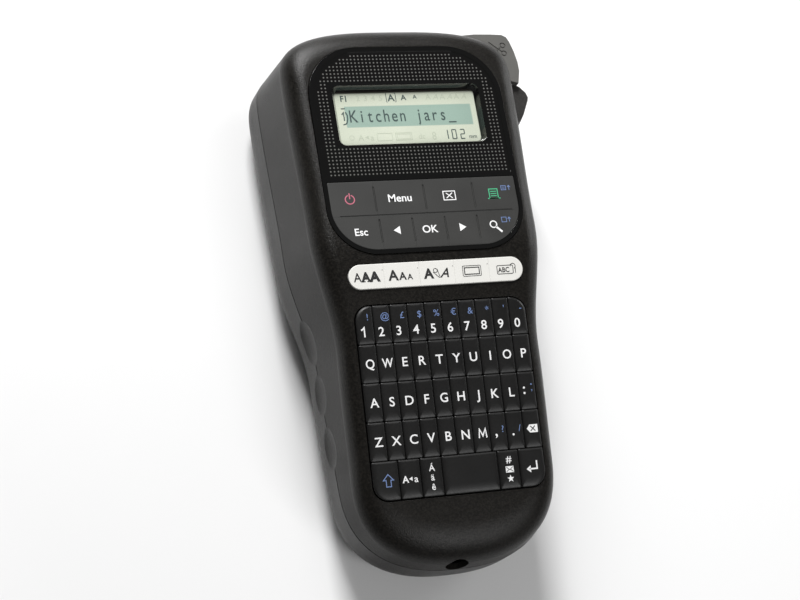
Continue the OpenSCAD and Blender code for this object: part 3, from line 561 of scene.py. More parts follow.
put(makeFrontShell(), "case", finishes["case"], ["front_case"])
print("front shell made")


bays = {"floor": (25, 27), "cellY": -halfL + 23, "cellL": 44.5, "spring": 4, "platenX": 14, "platenR": 4,
        "spindle": (10.68, 59.11, 3), "wire": (-12, 12, -28, -14), "jackHalf": 6, "jackL": 19, "wide": 60}
rearLevels = (9, 10, 11, 12, 13, 14.2, 15.6, 17, 20, 24)


def makeRearShell():
    top, low, lip, w = body["parting"], body["seam"], frontShape["lip"], body["wall"]
    ease = 0.25
    outer = loft([backRing(low, ease), backRing(low + ease)] + [backRing(z) for z in rearLevels]
                 + [backRing(top - lip * 0.8), backRing(top, lip)])
    inner = loft([atHeight(backRing(low, w), low - 0.2)] + [backRing(z, w) for z in (10, 13, 17, 22)]
                 + [atHeight(backRing(top, w), top + 0.2)])
    y0, exitY, px, wide = bays["cellY"], side["exitY"], bays["platenX"], bays["wide"]
    f0, f1 = bays["floor"]
    through = f0 - 1, f1 + 1
    jx, jh = side["jackX"], bays["jackHalf"]
    floor = carve(brick(-wide, wide, -halfL, halfL, f0, f1), [
        rod(*bays["spindle"], *through), rod(px, exitY + 4.75, bays["platenR"], *through),
        brick(px - 8, px + 8, exitY - 6.5, exitY - 0.8, *through), brick(*bays["wire"], *through),
        brick(jx - jh, jx + jh, -halfL, -halfL + bays["jackL"], *through)])
    far = y0 + bays["cellL"] + bays["spring"]
    walls = [brick(x0, x1, ya, yb, low + 0.6, f1 - 0.1) for x0, x1, ya, yb in (
        (-wide, wide, y0 - 3, y0 - 1.4), (-wide, wide, far + 1.4, far + 3),
        (-46, 40, exitY - 51.5, exitY - 50))]
    keep = [prism(pocketPoints(side["skin"]), low - 1, top + 1), floor] + walls
    keep += [rod(x, y, side["postR"], side["seat"] - side["skin"], top + 1) for x, y in side["screws"]]
    inner = carve(inner, keep)
    holes = [prism(pocketPoints(0), side["pocketLow"], top + 1)]
    for x, y in side["screws"]:
        holes += [rod(x, y, side["screwR"], side["seat"] - 2, top + 1),
                  rod(x, y, side["screwHead"], side["seat"] - 2, side["seat"])]
    holes.append(brick(side["pocketX"] - 3, side["pocketX"] + 1, exitY - 2.4, exitY + 2.4,
                       side["pocketLow"] + 0.4, f0 - 1))
    shell = carve(outer, [inner] + holes + dimpleTools())
    return newObject("rearShell", scaled(shell), 40)


put(makeRearShell(), "case", finishes["case"], ["rear_case"])
print("rear shell made")


cover = {"gap": 0.15, "grooves": 5, "grooveR": 0.75, "grooveGap": 3, "panelHalf": (19, 30), "panelY": 8,
         "panelDeep": 0.35, "levels": (0, 0.25, 0.6, 1.1, 1.8, 2.7, 3.8, 5, 6.3)}


def makeBackCover():
    top, w = body["seam"] - cover["gap"], body["wall"]
    seam = body["seam"]
    outer = loft([backRing(z) for z in cover["levels"] + (top - 0.3,)] + [backRing(top, 0.25)])
    inner = loft([backRing(w, w), backRing(3, w), backRing(5, w), atHeight(backRing(top, w), seam)])
    cellY, exitY = bays["cellY"], side["exitY"]
    ribs = [(x - 0.8, x + 0.8, exitY - 44, exitY - 16) for x in (-22, 14)]
    ribs += [(-24, 24, cellY + d - 0.8, cellY + d + 0.8) for d in (14, 34)]
    ribs += [(x, x + 1.6, halfL - 22, halfL - 13) for x in (-10.6, 9)]
    keep = [brick(*rib, w - 0.5, seam - 1) for rib in ribs]
    shell = carve(outer, [carve(inner, keep)])
    hooks = [brick(x - 4, x + 4, -halfL + 9, -halfL + 11, w - 0.5, seam + 3) for x in (-10, 10)]
    shell = carve(shell, hooks, "UNION")
    holes = [brick(-8.4, 8.4, halfL - 21.6, halfL - 14.5, -1, w + 1)]
    # a shallow panel for a rating plate, left blank, and grip grooves below the latch
    px, py = cover["panelHalf"]
    plate = roundedBox(-px, px, cover["panelY"] - py, cover["panelY"] + py, 2.5, 2.5)
    holes.append(prism(plate, -1, cover["panelDeep"]))
    for i in range(cover["grooves"]):
        half = 13 - i * 1.2          # each shorter than the one above
        groove = rod(0, 0, cover["grooveR"], -half, half, 16)
        there = Matrix.Translation((0, halfL - 25.5 - i * cover["grooveGap"], -0.25))
        holes.append(place(groove, there @ Matrix.Rotation(math.pi / 2, 4, "Y")))
    return newObject("backCover", scaled(carve(shell, holes)), 40)


put(makeBackCover(), "cover", finishes["case"], ["back_cover"])
latch = newObject("coverLatch", scaled(roundEdges(cadCopy("cover_latch"), 0.25)))
put(latch, "latch", finishes["case"], ["cover_latch"])
print("back cover made")


capHeight = 0.729          # of the plain font, at size 1
ink = {"thick": 0.04, "step": 0.008}


def lettering(words, height, bold=0.0, squeeze=1.0, lean=0.0):
    # words as a thin flat mesh: capitals stand this high, and the middle of the words is the origin
    curve = bpy.data.curves.new("words", "FONT")
    curve.body = words
    curve.offset = bold
    curve.shear = lean
    curve.extrude = ink["thick"] / 2
    curve.resolution_u = 4
    obj = bpy.data.objects.new("words", curve)
    bpy.context.scene.collection.objects.link(obj)
    graph = bpy.context.evaluated_depsgraph_get()
    mesh = bpy.data.meshes.new_from_object(obj.evaluated_get(graph))
    bm = bmesh.new()
    bm.from_mesh(mesh)
    bpy.data.objects.remove(obj)
    bpy.data.meshes.remove(mesh)
    bpy.data.curves.remove(curve)
    xs = [v.co.x for v in bm.verts]
    grow = height / capHeight
    middle = Vector((-(min(xs) + max(xs)) / 2, -capHeight / 2, ink["thick"] / 2))
    bmesh.ops.translate(bm, vec=middle, verts=bm.verts)
    bmesh.ops.scale(bm, vec=(grow * squeeze, grow, 1), verts=bm.verts)
    return bm


def band(line, width, top, closed):
    # one stroke of even width, with mitred corners and square ends
    points = [Vector(q) for q in line]
    if not closed:
        points[0] += (points[0] - points[1]).normalized() * width / 2
        points[-1] += (points[-1] - points[-2]).normalized() * width / 2
    count = len(points)
    left, right = [], []
    for i, q in enumerate(points):
        ahead = points[(i + 1) % count] - q if closed or i < count - 1 else q - points[i - 1]
        behind = q - points[i - 1] if closed or i else ahead
        ahead, behind = ahead.normalized(), behind.normalized()
        normal = Vector((-ahead.y - behind.y, ahead.x + behind.x)).normalized()
        reach = width / 2 / max(normal.dot(Vector((-ahead.y, ahead.x))), 0.4)
        left.append(q + normal * reach)
        right.append(q - normal * reach)
    bm = bmesh.new()
    lowL, lowR, topL, topR = [[bm.verts.new((v.x, v.y, z)) for v in way]
                              for z in (0, top) for way in (left, right)]
    for i in range(count if closed else count - 1):
        j = (i + 1) % count
        for loop in ((topR[i], topR[j], topL[j], topL[i]), (lowL[i], lowL[j], lowR[j], lowR[i]),
                     (topL[i], topL[j], lowL[j], lowL[i]), (lowR[i], lowR[j], topR[j], topR[i])):
            bm.faces.new(loop)
    if not closed:
        for i in (0, -1):
            bm.faces.new((lowL[i], lowR[i], topR[i], topL[i]))
    bmesh.ops.recalc_face_normals(bm, faces=bm.faces)
    return bm


def strokes(lines, width, closed=False):
    # each stroke is a little higher than the last, so that crossings stay clean
    return joined([band(line, width, ink["thick"] + ink["step"] * n, closed) for n, line in enumerate(lines)])


def flat(points):
    return prism(points, 0, ink["thick"])


def spot(r):
    return rod(0, 0, r, 0, ink["thick"], 12)


def cross(x, y, width):
    return strokes([[(-x, -y), (x, y)], [(-x, y), (x, -y)]], width)


def ringMark(r, width, start=0, sweep=360, steps=24):
    angles = [math.radians(start + sweep * i / steps) for i in range(steps + (sweep < 360))]
    return strokes([[(r * math.cos(a), r * math.sin(a)) for a in angles]], width, closed=sweep >= 360)


def boxMark(halfX, halfY, width, r=0.0):
    points = roundedBox(-halfX, halfX, -halfY, halfY, r, r, 4) if r else [
        (-halfX, -halfY), (halfX, -halfY), (halfX, halfY), (-halfX, halfY)]
    return strokes([points], width, closed=True)


def at(bm, x, y, z=0.0):
    return place(bm, Matrix.Translation((x, y, z)))


def marks(name, rider, finish, parts, plane):
    bm = place(joined(parts), plane)
    return put(newObject(name, scaled(bm), 30, weighted=False), rider, finish)


screen = {"half": 28.1, "y": 45, "height": 22, "pitch": 1.48, "dot": 0.19, "soft": 0.08, "frame": 2.6,
          "slope": 1.6, "corner": 2.0, "below": 1.8, "edge": 1.6}


def panelFinish():
    # gloss black with a printed grid of dots, left plain round the screen and along the edge
    f = Finish("panelGloss", Coat_Weight=1.0, Coat_Roughness=0.03)
    x, y, z = f.axes()
    y = y - body["bend"] * mm
    pitch = screen["pitch"] * mm
    column, row = x / pitch, y / pitch
    offX, offY = column.fract() - 0.5, row.fract() - 0.5
    midX, midY = (column.floor() + 0.5) * pitch, (row.floor() + 0.5) * pitch
    away = (offX * offX + offY * offY) ** 0.5
    dot = f.span(away, screen["dot"] - screen["soft"], screen["dot"] + screen["soft"], 1, 0)
    mid = (screen["y"] + screen["height"] / 2) * mm
    border = screen["frame"] * mm
    nearX = abs(midX) < screen["half"] * mm + border
    plain = nearX * (abs(midY - mid) < screen["height"] * mm / 2 + border)
    below = midY > (panel["sheetTop"] + screen["below"]) * mm
    # distance in from the rounded edge of the panel
    half = (panel["half"] - panel["ring"] - screen["edge"]) * mm
    r, top = (panel["topR"] - 2) * mm, (panel["length"] - 2 * screen["edge"]) * mm
    cx = (abs(midX) - (half - r)).larger(0)
    cy = (midY - (top - r)).larger(0)
    inside = (cx * cx + cy * cy) ** 0.5 < r
    mask = dot * (1 - plain) * below * inside
    f.feed("Base Color", f.blend(mask, (0.0014, 0.0014, 0.0013, 1), (0.15, 0.15, 0.14, 1)))
    f.feed("Roughness", f.span(f.noise(140, 3, 0.6), 0.3, 0.7, 0.06, 0.12))
    f.bump(f.noise(260, 2, 0.5), 0.000004)
    return f.mat


def makeBezel():
    # a step up to a narrow gloss ring, the flat panel inside it, and sloping walls down to the screen
    b = {"low": -2.4, "top": 0.25, "lift": 0.12, "cutLow": -6, "cutTop": 3, "in": 0.5, "round": 0.1}
    bm = prism(panelOutline(0.1, 20), b["low"], b["top"])
    s, lowR, highR = screen, panel["lowR"] - panel["ring"], panel["topR"] - panel["ring"] - b["in"]
    x, y0, y1 = panel["half"] - panel["ring"], panel["sheetTop"], panel["length"] - panel["ring"]
    space = prism(roundedBox(-x, x, panel["ring"], y0, lowR, 0.6, 20), b["cutLow"], b["cutTop"])
    walls = ((0, b["cutLow"]), (0, -2.3), (s["slope"] * 0.5, -1.2), (s["slope"] * 0.8, 0.13),
             (s["slope"], b["cutTop"]))
    levels = []
    for d, z in walls:
        r = s["corner"] + d / 2
        outline = roundedBox(-s["half"] - d, s["half"] + d, s["y"] - d, s["y"] + s["height"] + d, r, r, 8)
        levels.append([(px, py, z) for px, py in outline])
    dip = prism(roundedBox(-x + b["in"], x - b["in"], y0 + 1.2, y1 - b["in"], 1.2, highR, 20),
                b["top"] - b["lift"], b["cutTop"])
    bm = carve(bm, [space, drawn(levels)[0], dip])
    roundEdges(bm, b["round"], 2, 40, only=lambda e: min(v.co.z for v in e.verts) > b["low"] + 0.1)
    return newObject("screenPanel", scaled(place(bm, headPlane)), 40)


put(makeBezel(), "case", panelFinish(), ["screen_bezel"])
lcd = {"low": -5.4, "top": -2.6, "rim": (2.6, 3), "cell": 0.62, "band": (0.6, 11.5), "bandHalf": (25.2, 4.2),
       "soft": (0.4, 0.3), "sealAndShade": (20.9, 21.5), "highRow": 19.2, "lowRow": 2.9}


def lcdFinish():
    # pale green-grey glass with a bluish row of dots for the letters, and a dark band along the top that is
    # partly its seal and partly painted shade from the window's upper wall
    f = Finish("lcdGlass", Coat_Weight=0.5, Coat_Roughness=0.15)
    x, y, z = f.axes()
    y = y - (body["bend"] + screen["y"]) * mm
    midX, midY = (v * mm for v in lcd["band"])
    halfX, halfY = (v * mm for v in lcd["bandHalf"])
    softX, softY = (v * mm for v in lcd["soft"])
    band = f.span(abs(y - midY), halfY, halfY + softY, 1, 0)
    band = band * f.span(abs(x - midX), halfX, halfX + softX, 1, 0)
    columns = abs((x / (lcd["cell"] * mm)).fract() - 0.5) < 0.43
    rows = abs((y / (lcd["cell"] * mm)).fract() - 0.5) < 0.43
    cells = 1 - columns * rows
    uneven = f.noise(26, 2, 0.5)
    pale = f.blend(f.span(uneven, 0.3, 0.7, 0, 1), (0.61, 0.66, 0.53, 1), (0.69, 0.73, 0.60, 1))
    teal = f.blend(cells * 0.35, (0.33, 0.46, 0.39, 1), (0.41, 0.53, 0.46, 1))
    # painted shade: the dark brown band along the top stands partly for the cell's seal and partly for the
    # shadow the window's upper wall casts on the cell
    sealAndShade = f.span(y, lcd["sealAndShade"][0] * mm, lcd["sealAndShade"][1] * mm, 0, 1)
    f.feed("Base Color", f.blend(sealAndShade, f.blend(band, pale, teal), (0.022, 0.018, 0.011, 1)))
    f.feed("Roughness", f.span(f.noise(900, 2), 0.3, 0.7, 0.3, 0.42))
    return f.mat


def makeLcd():
    rimX, rimY = lcd["rim"]
    x, y0, y1 = screen["half"] + rimX, screen["y"] - rimY, screen["y"] + screen["height"] + rimY
    bm = roundEdges(prism(roundedBox(-x, x, y0, y1, 0.6, 0.6), lcd["low"], lcd["top"]), 0.2, 2)
    return newObject("lcdCell", scaled(place(bm, headPlane)), 35)


put(makeLcd(), "case", lcdFinish(), ["lcd_module"])

lensFinish = Finish("clearLens", Base_Color=(0.02, 0.02, 0.02, 1), Roughness=0.04)
lensFinish.feed("Alpha", lensFinish.span(lensFinish.noise(40), 0.3, 0.7, 0.035, 0.05))
lensFinish.feed("Roughness", lensFinish.span(lensFinish.noise(300), 0.3, 0.7, 0.03, 0.06))
lensObject = newObject("screenLens", scaled(roundEdges(cadCopy("screen_lens"), 0.15)))
put(lensObject, "case", lensFinish.mat, ["screen_lens"])

# letters on the screen: words, height, boldness, width, lean, and place
high, low = lcd["highRow"], lcd["lowRow"]
text = {"words": "Kitchen jars", "height": 5.3, "bold": 0.004, "wide": 0.74, "x": -21.6, "y": 11.9,
        "pitch": 3.25}
darkLetters = [(c, text["height"], text["bold"], text["wide"], 0, text["x"] + i * text["pitch"], text["y"])
               for i, c in enumerate(text["words"]) if c != " "]
darkLetters += [("F1", 2.6, 0.02, 0.9, 0, -24.6, high), ("A", 2.9, 0.02, 1, 0, -5.6, high),
                ("A", 2.3, 0.02, 1, 0, -0.6, high), ("A", 1.6, 0.02, 1, 0, 4.0, high + 0.2),
                ("mm", 1.7, 0.01, 0.9, 0, 24.9, 2.2)]
faintLetters = [(c, 2.3, 0, 1, 0, -18.8 + i * 3, high) for i, c in enumerate("2345")]
faintLetters += [("A", 2.4, 0, 1, 0.3 * (i % 2), 9.4 + i * 2.9, high) for i in range(6)]
faintLetters += [("A", 2.4, 0, 1, 0, -20, low), ("a", 2.4, 0, 1, 0, -15.6, low),
                 ("dc", 2.2, 0, 1, 0, 4.2, low), ("8", 3.4, 0, 0.8, 0, 9.2, low)]
# drawn signs: the cursor, the little frame before the words, and the brackets round the large letter
darkLines = [
    ([[(-1.3, 0), (1.3, 0)]], 0.5, -21.3 + len(text["words"]) * text["pitch"], 8.4),
    ([[(-0.9, 3.2), (0.2, 3.2)], [(-1.0, 0.9), (-0.4, 1.6), (-0.4, -1.6)],
      [(0.5, 1.6), (1.0, 0.4), (0.9, -1.2), (0.3, -3.0), (-0.9, -3.4)]], 0.45, -25.0, 11.8),
    ([[(x * 1.7, 1.9), (x * 1.9, 1.6), (x * 1.9, -1.6), (x * 1.7, -1.9)] for x in (-1, 1)], 0.25, -5.6, high),
]
# the length at the lower right, in segments
segments = {"a": ((-0.6, 1.9), (0.6, 1.9)), "b": ((0.8, 1.7), (0.8, 0.2)),
            "c": ((0.8, -0.2), (0.8, -1.7)), "d": ((-0.6, -1.9), (0.6, -1.9)),
            "e": ((-0.8, -0.2), (-0.8, -1.7)), "f": ((-0.8, 1.7), (-0.8, 0.2)),
            "g": ((-0.55, 0), (0.55, 0))}
for i, used in enumerate(("bc", "abcdef", "abged")):
    darkLines.append(([list(segments[k]) for k in used], 0.38, 14.0 + i * 3.4, 3.2))
faintSigns = [(ringMark(0.9, 0.2), -23.6), (flat([(-0.8, 0), (0.6, 0.8), (0.6, -0.8)]), -17.6),
              (boxMark(3, 1.5, 0.22, 0.4), -10.6), (boxMark(3.2, 1.5, 0.22), -3.0),
              (boxMark(2.6, 1.0, 0.18), -3.0)]


def makeScreenMarks():
    dark = [at(strokes(lines, width), x, y) for lines, width, x, y in darkLines]
    dark += [at(lettering(*how), x, y) for *how, x, y in darkLetters]
    faint = [at(sign, x, low) for sign, x in faintSigns]
    faint += [at(lettering(*how), x, y) for *how, x, y in faintLetters]
    for name, finish, parts in (("screenText", "lcdDark", dark), ("screenFaintSigns", "lcdFaint", faint)):
        parts = [at(part, 0, screen["y"], lcd["top"]) for part in parts]
        marks(name, "case", finishes[finish], parts, headPlane)


finishes["lcdDark"] = moulded("lcdDark", (0.045, 0.075, 0.072), 0.45, 2600, 0.000001, patch=0.05)
finishes["lcdFaint"] = moulded("lcdFaint", (0.52, 0.57, 0.45), 0.45, 2600, 0.000001, patch=0.04)
makeScreenMarks()
print("screen made")

# dark sheet of function keys, cut into keys along its grooves
sheet = {"low": -2, "top": 0.2, "split": 15.2, "upper": (-19.5, 0, 19.5),
         "lower": (-19.2, -6.4, 6.4, 19.2), "seam": 0.02, "groove": 0.36, "lift": 0.08, "gap": 0.12,
         "round": 0.3, "half": 34, "foot": 4.4, "free": 1.6, "head": 2.4, "far": 60}
sheetKeys = {"upper": ["power", "menu", "clear", "print"],
             "lower": ["escape", "left", "ok", "right", "preview"]}


def sliced(bm, axis, low, high):
    # what lies between two planes, with the cuts closed
    copy = bm.copy()
    for where, way in ((low, -1), (high, 1)):
        point, normal = [0, 0, 0], [0, 0, 0]
        point[axis], normal[axis] = where, way
        cut = bmesh.ops.bisect_plane(copy, geom=copy.verts[:] + copy.edges[:] + copy.faces[:], plane_co=point,
                                     plane_no=normal, clear_outer=True, dist=1e-5)
        edges = [g for g in cut["geom_cut"] if isinstance(g, bmesh.types.BMEdge)]
        if edges:
            bmesh.ops.edgeloop_fill(copy, edges=edges)
    bmesh.ops.recalc_face_normals(copy, faces=copy.faces)
    return copy


def makeSheet():
    d = panel["ring"] + sheet["gap"]
    outline = roundedBox(-panel["half"] + d, panel["half"] - d, d, panel["sheetTop"] - sheet["gap"],
                         panel["lowR"] - d, 0.5, 16)
    bm = prism(outline, sheet["low"], sheet["top"])
    roundEdges(bm, sheet["round"], 3, 40, only=lambda e: min(v.co.z for v in e.verts) > sheet["low"] + 0.1)

    def channel(ax, ay, bx, by):
        bar = rod(0, 0, sheet["groove"], 0, math.hypot(bx - ax, by - ay), 12)
        turn = Vector((bx - ax, by - ay, 0)).to_track_quat("Z", "Y").to_matrix().to_4x4()
        return place(bar, Matrix.Translation((ax, ay, sheet["top"] + sheet["lift"])) @ turn)
    split, free = sheet["split"], sheet["free"]
    grooves = [channel(x, split + free, x, panel["sheetTop"] - sheet["head"]) for x in sheet["upper"]]
    grooves += [channel(-sheet["half"], split, sheet["half"], split)]
    grooves += [channel(x, sheet["foot"], x, split - free) for x in sheet["lower"]]
    bm = carve(bm, grooves)
    s, far = sheet["seam"], sheet["far"]
    for row, low, high in (("upper", split + s, far), ("lower", -5, split - s)):
        band = sliced(bm, 1, low, high)
        edges = [-far] + list(sheet[row]) + [far]
        for i, key in enumerate(sheetKeys[row]):
            piece = place(sliced(band, 0, edges[i] + s, edges[i + 1] - s), headPlane)
            name = "key_" + key
            put(newObject("sheetKey_" + key, scaled(piece), 40), name, finishes["sheet"],
                [name])
        band.free()
    bm.free()


makeSheet()


def sheetMarks(key, finish, x, y, parts, tag=""):
    marks("sign_" + key + tag, "key_" + key, finishes[finish],
          [at(part, x, y, sheet["top"]) for part in parts], headPlane)


def shiftArrow(x):
    return at(strokes([[(0, -0.8), (0, 0.8)], [(-0.5, 0.3), (0, 0.9), (0.5, 0.3)]], 0.26), x, 0)


# signs on the function keys: key, colour, place, shapes
upperY, lowerY, shiftOn = 21.9, 9.0, 2.2
sheetMarks("power", "redInk", -29.2, upperY, [ringMark(1.75, 0.4, 115, 310),
                                              strokes([[(0, 0.4), (0, 2.3)]], 0.42)])
sheetMarks("menu", "ink", -9.8, upperY, [lettering("Menu", 3.1, 0.013)])
sheetMarks("clear", "ink", 9.8, upperY, [boxMark(2.35, 1.75, 0.36), cross(1.1, 0.95, 0.36)])
sheetMarks("print", "greenInk", 27.6, upperY, [
    boxMark(1.7, 1.9, 0.38), strokes([[(-1, y), (1, y)] for y in (-0.9, 0, 0.9)], 0.34),
    strokes([[(-2.3, -1.9), (2.3, -1.9)]], 0.42)])
sheetMarks("print", "blueInk", 32.0, upperY + shiftOn, [
    boxMark(0.95, 0.85, 0.24), strokes([[(-0.5, y), (0.5, y)] for y in (-0.25, 0.25)], 0.18),
    shiftArrow(2.2)], "_shift")
sheetMarks("escape", "ink", -26.8, lowerY, [lettering("Esc", 2.9, 0.014)])
sheetMarks("left", "ink", -12.8, lowerY, [flat([(-1.5, 0), (1.1, -1.6), (1.1, 1.6)])])
sheetMarks("ok", "ink", 0, lowerY, [lettering("OK", 3.0, 0.014)])
sheetMarks("right", "ink", 12.8, lowerY, [flat([(1.5, 0), (-1.1, 1.6), (-1.1, -1.6)])])
sheetMarks("preview", "ink", 25.3, lowerY + 0.5, [
    ringMark(1.3, 0.45), at(strokes([[(0, 0), (1.7, -1.7)]], 0.75), 1.1, -1.2)])
sheetMarks("preview", "blueInk", 29.9, lowerY + shiftOn, [boxMark(0.95, 0.95, 0.24), shiftArrow(2.1)],
           "_shift")
print("function sheet made")

stripKeys = ["font", "size", "style", "frame", "preset"]
stripShape = {"low": -3, "top": 0.6, "edge": 0.55, "seam": 0.02, "far": 60, "width": 2 * strip["half"] / 5}


def makeStrip():
    # the white strip, cut into five keys
    s, w = stripShape, stripShape["width"]
    bm = prism(stripOutline(0.2), s["low"], s["top"])
    roundEdges(bm, s["edge"], 4, 40, only=lambda e: min(v.co.z for v in e.verts) > s["low"] + 0.1)
    for i, key in enumerate(stripKeys):
        low = -strip["half"] + i * w + s["seam"] if i else -s["far"]
        high = -strip["half"] + (i + 1) * w - s["seam"] if i < 4 else s["far"]
        piece = place(sliced(bm, 0, low, high), keyPlane)
        name = "key_" + key
        put(newObject("stripKey_" + key, scaled(piece), 40), name, finishes["strip"], [name])
    bm.free()


makeStrip()


def stripMarks(key, parts, name="sign_", finish="darkInk"):
    x = (stripKeys.index(key) - 2) * stripShape["width"]
    marks(name + key, "key_" + key, finishes[finish],
          [at(part, x, strip["y"], stripShape["top"]) for part in parts], keyPlane)


def letterA(x, y, height, bold, squeeze=1.0, lean=0.0):
    return at(lettering("A", height, bold, squeeze, lean), x, y)


stripMarks("font", [letterA(-3.3, 0, 3.4, 0.012, 0.9), letterA(-0.1, 0, 3.5, 0.05, 0.95),
                    strokes([[(-1.9, -1.75), (-0.5, -1.75)], [(0.4, -1.75), (1.8, -1.75)]], 0.3),
                    letterA(3.3, 0, 3.6, 0.055, 1.05)])
stripMarks("size", [letterA(-3.3, 0.1, 3.9, 0.028), letterA(0.3, -0.35, 2.9, 0.026),
                    letterA(3.1, -0.75, 2.1, 0.024)])
stripMarks("style", [letterA(-3.3, 0, 3.7, 0.04), at(ringMark(0.75, 0.24), -0.6, 0.9),
                     strokes([[(-1.4, 0.2), (0.7, -1.8)], [(0.2, 1.2), (0.9, -1.4)]], 0.24),
                     letterA(2.7, 0, 3.6, 0.015, 1, 0.4)])
stripMarks("frame", [boxMark(3.6, 1.95, 0.22, 0.4), boxMark(2.9, 1.25, 0.36)])
stripMarks("preset", [at(boxMark(3.2, 1.6, 0.26, 0.5), -0.5, -0.25),
                      at(lettering("ABC", 1.9, 0.02, 0.9), -1.1, -0.25),
                      at(ringMark(1.0, 0.24, -60, 240), 2.7, 0.95),
                      strokes([[(3.6, 0.8), (3.6, -1.6)]], 0.24)])
for key in stripKeys[:4]:
    stripMarks(key, [at(spot(0.22), stripShape["width"] / 2 - 0.5, 2.3)], "stripDot_", "greyInk")
print("white strip made")


keyShape = {"low": -3, "edge": 0.1, "top": 0.8, "seam": 0.05, "steps": 7, "corner": 0.6,
            "side": 2.3, "head": 1.3, "foot": 3.6}


def pillowKey(col, width, row):
    # walls go up from the mat, then the top closes in by steps of a quarter ellipse, longest towards the user
    k, s = keyboard, keyShape
    x0 = -5 * k["dx"] + col * k["dx"] + s["seam"]
    x1 = x0 + width * k["dx"] - 2 * s["seam"]
    y1 = k["top"] - body["gap"] - row * k["dy"] - s["seam"]
    y0 = y1 - k["dy"] + 2 * s["seam"]
    big = k["r"] - body["gap"] - s["seam"]
    ends = [(x0, y0, 180, row == 4 and col == 0), (x1, y0, 270, row == 4 and col + width == 10),
            (x1, y1, 0, row == 0 and col + width == 10), (x0, y1, 90, row == 0 and col == 0)]

    def outline(share, z):
        points = []
        for x, y, start, outer in ends:
            r = big if outer else s["corner"]
            inX = s["side"] * share * (1 if x == x0 else -1)
            inY = s["foot"] * share if y == y0 else -s["head"] * share
            rx = max(min(r - abs(inX), x1 - x0 - 2 * abs(inX) - 0.3), 0.3)
            ry = max(r - abs(inY), 0.3)
            cx = x + inX + (rx if x == x0 else -rx)
            cy = y + inY + (ry if y == y0 else -ry)
            points += [(cx + rx * math.cos(math.radians(start + 90 * i / 6)),
                        cy + ry * math.sin(math.radians(start + 90 * i / 6)), z) for i in range(7)]
        return points
    levels = [(0, s["low"])]
    for i in range(s["steps"] + 1):
        a = math.pi / 2 * i / s["steps"]
        levels.append((1 - math.cos(a), s["edge"] + (s["top"] - s["edge"]) * math.sin(a)))
    bm, _ = drawn([outline(share, z) for share, z in levels])
    bmesh.ops.recalc_face_normals(bm, faces=bm.faces)
    return bm


def makeKeys(node, keys):
    bm = place(joined([pillowKey(*key) for key in keys]), keyPlane)
    put(newObject(node + "_caps", scaled(bm), 50), node, finishes["key"], [node])


for row, (name, count) in enumerate((("numbers", 10), ("q", 10), ("a", 10), ("z", 9))):
    makeKeys("keys_row_" + name, [(c, 1, row) for c in range(count)])
# the other keys: first column, width in columns, row
wideKeys = {"backspace": (9, 1, 3), "shift": (0, 1.5, 4), "caps": (1.5, 1.25, 4), "accent": (2.75, 1.25, 4),
            "space": (4, 3.25, 4), "symbol": (7.25, 1.25, 4), "enter": (8.5, 1.5, 4)}
for name, key in wideKeys.items():
    makeKeys("key_" + name, [key])


def keyAt(bm, col, row, dx=0.0, dy=0.0):
    k = keyboard
    x, y = -5 * k["dx"] + col * k["dx"] + dx, k["top"] - body["gap"] - (row + 0.5) * k["dy"] + dy
    return at(bm, x, y, keyShape["top"])


def keyMarks(node, finish, parts, tag="", over=0.0):
    obj = marks("legend_" + node + tag, node, finishes[finish], parts, keyPlane)
    obj.data.transform(Matrix.Translation((0, 0, over * mm)))


legend = {"height": 3.5, "bold": 0.011, "wide": {"W": 0.8, "M": 0.9, "O": 0.92, "Q": 0.9, "G": 0.95},
          "shift": 2.5, "shiftBold": 0.002, "dx": 0.3, "over": 0.02, "dot": 0.42}
drawnLetters = {"M": ([(-1.45, -1.6), (-1.15, 1.4), (0, -1.1), (1.15, 1.4), (1.45, -1.6)], 0.5),
                "1": ([(-0.75, 0.9), (-0.1, 1.3), (0.2, 1.65), (0.2, -1.5)], 0.55)}


def capital(letter):
    if letter in drawnLetters:
        line, width = drawnLetters[letter]
        return strokes([line], width)
    return lettering(letter, legend["height"], legend["bold"], legend["wide"].get(letter, 1.0))


def capitals(letters, row, dx, dy=0.0):
    return [keyAt(capital(c), i + 0.5, row, dx, dy) for i, c in enumerate(letters)]


def shifted(sign, col, row, dx, dy, height=legend["shift"]):
    return keyAt(lettering(sign, height, legend["shiftBold"]), col, row, dx, dy)


keyMarks("keys_row_numbers", "ink", capitals("1234567890", 0, -0.75, -2.6))
keyMarks("keys_row_numbers", "blueInk",
         [shifted(c, i + 0.5, 0, 1.1, 3.0) for i, c in enumerate("!@£$%€&*'-")], "_shift")
keyMarks("keys_row_q", "ink", capitals("QWERTYUIOP", 1, 0.25))
keyMarks("keys_row_a", "ink", capitals("ASDFGHJKL", 2, legend["dx"])
         + [keyAt(spot(legend["dot"]), 9.3, 2, 0, y) for y in (-0.9, 1.1)])
keyMarks("keys_row_a", "blueInk",
         [keyAt(spot(0.3), 9.75, 2, 0, 2.2), shifted(",", 9.75, 2, 0, 1.2, 2.6)], "_shift")
keyMarks("keys_row_z", "ink", capitals("ZXCVBNM", 3, legend["dx"])
         + [keyAt(lettering(",", 4.2, legend["bold"]), 7.35, 3, 0, 0.5),
            keyAt(spot(legend["dot"]), 8.35, 3, 0, -1.6)])
keyMarks("keys_row_z", "blueInk", [shifted("?", 7.75, 3, 0, 0.9), shifted("/", 8.75, 3, 0, 0.7)], "_shift")
eraser = flat([(-2.2, 0), (-1, 1.5), (2.1, 1.5), (2.1, -1.5), (-1, -1.5)])
keyMarks("key_backspace", "ink", [keyAt(eraser, 9.5, 3)])
keyMarks("key_backspace", "darkInk", [keyAt(cross(0.8, 0.8, 0.36), 9.5, 3, 0.2)], "_cross", legend["over"])
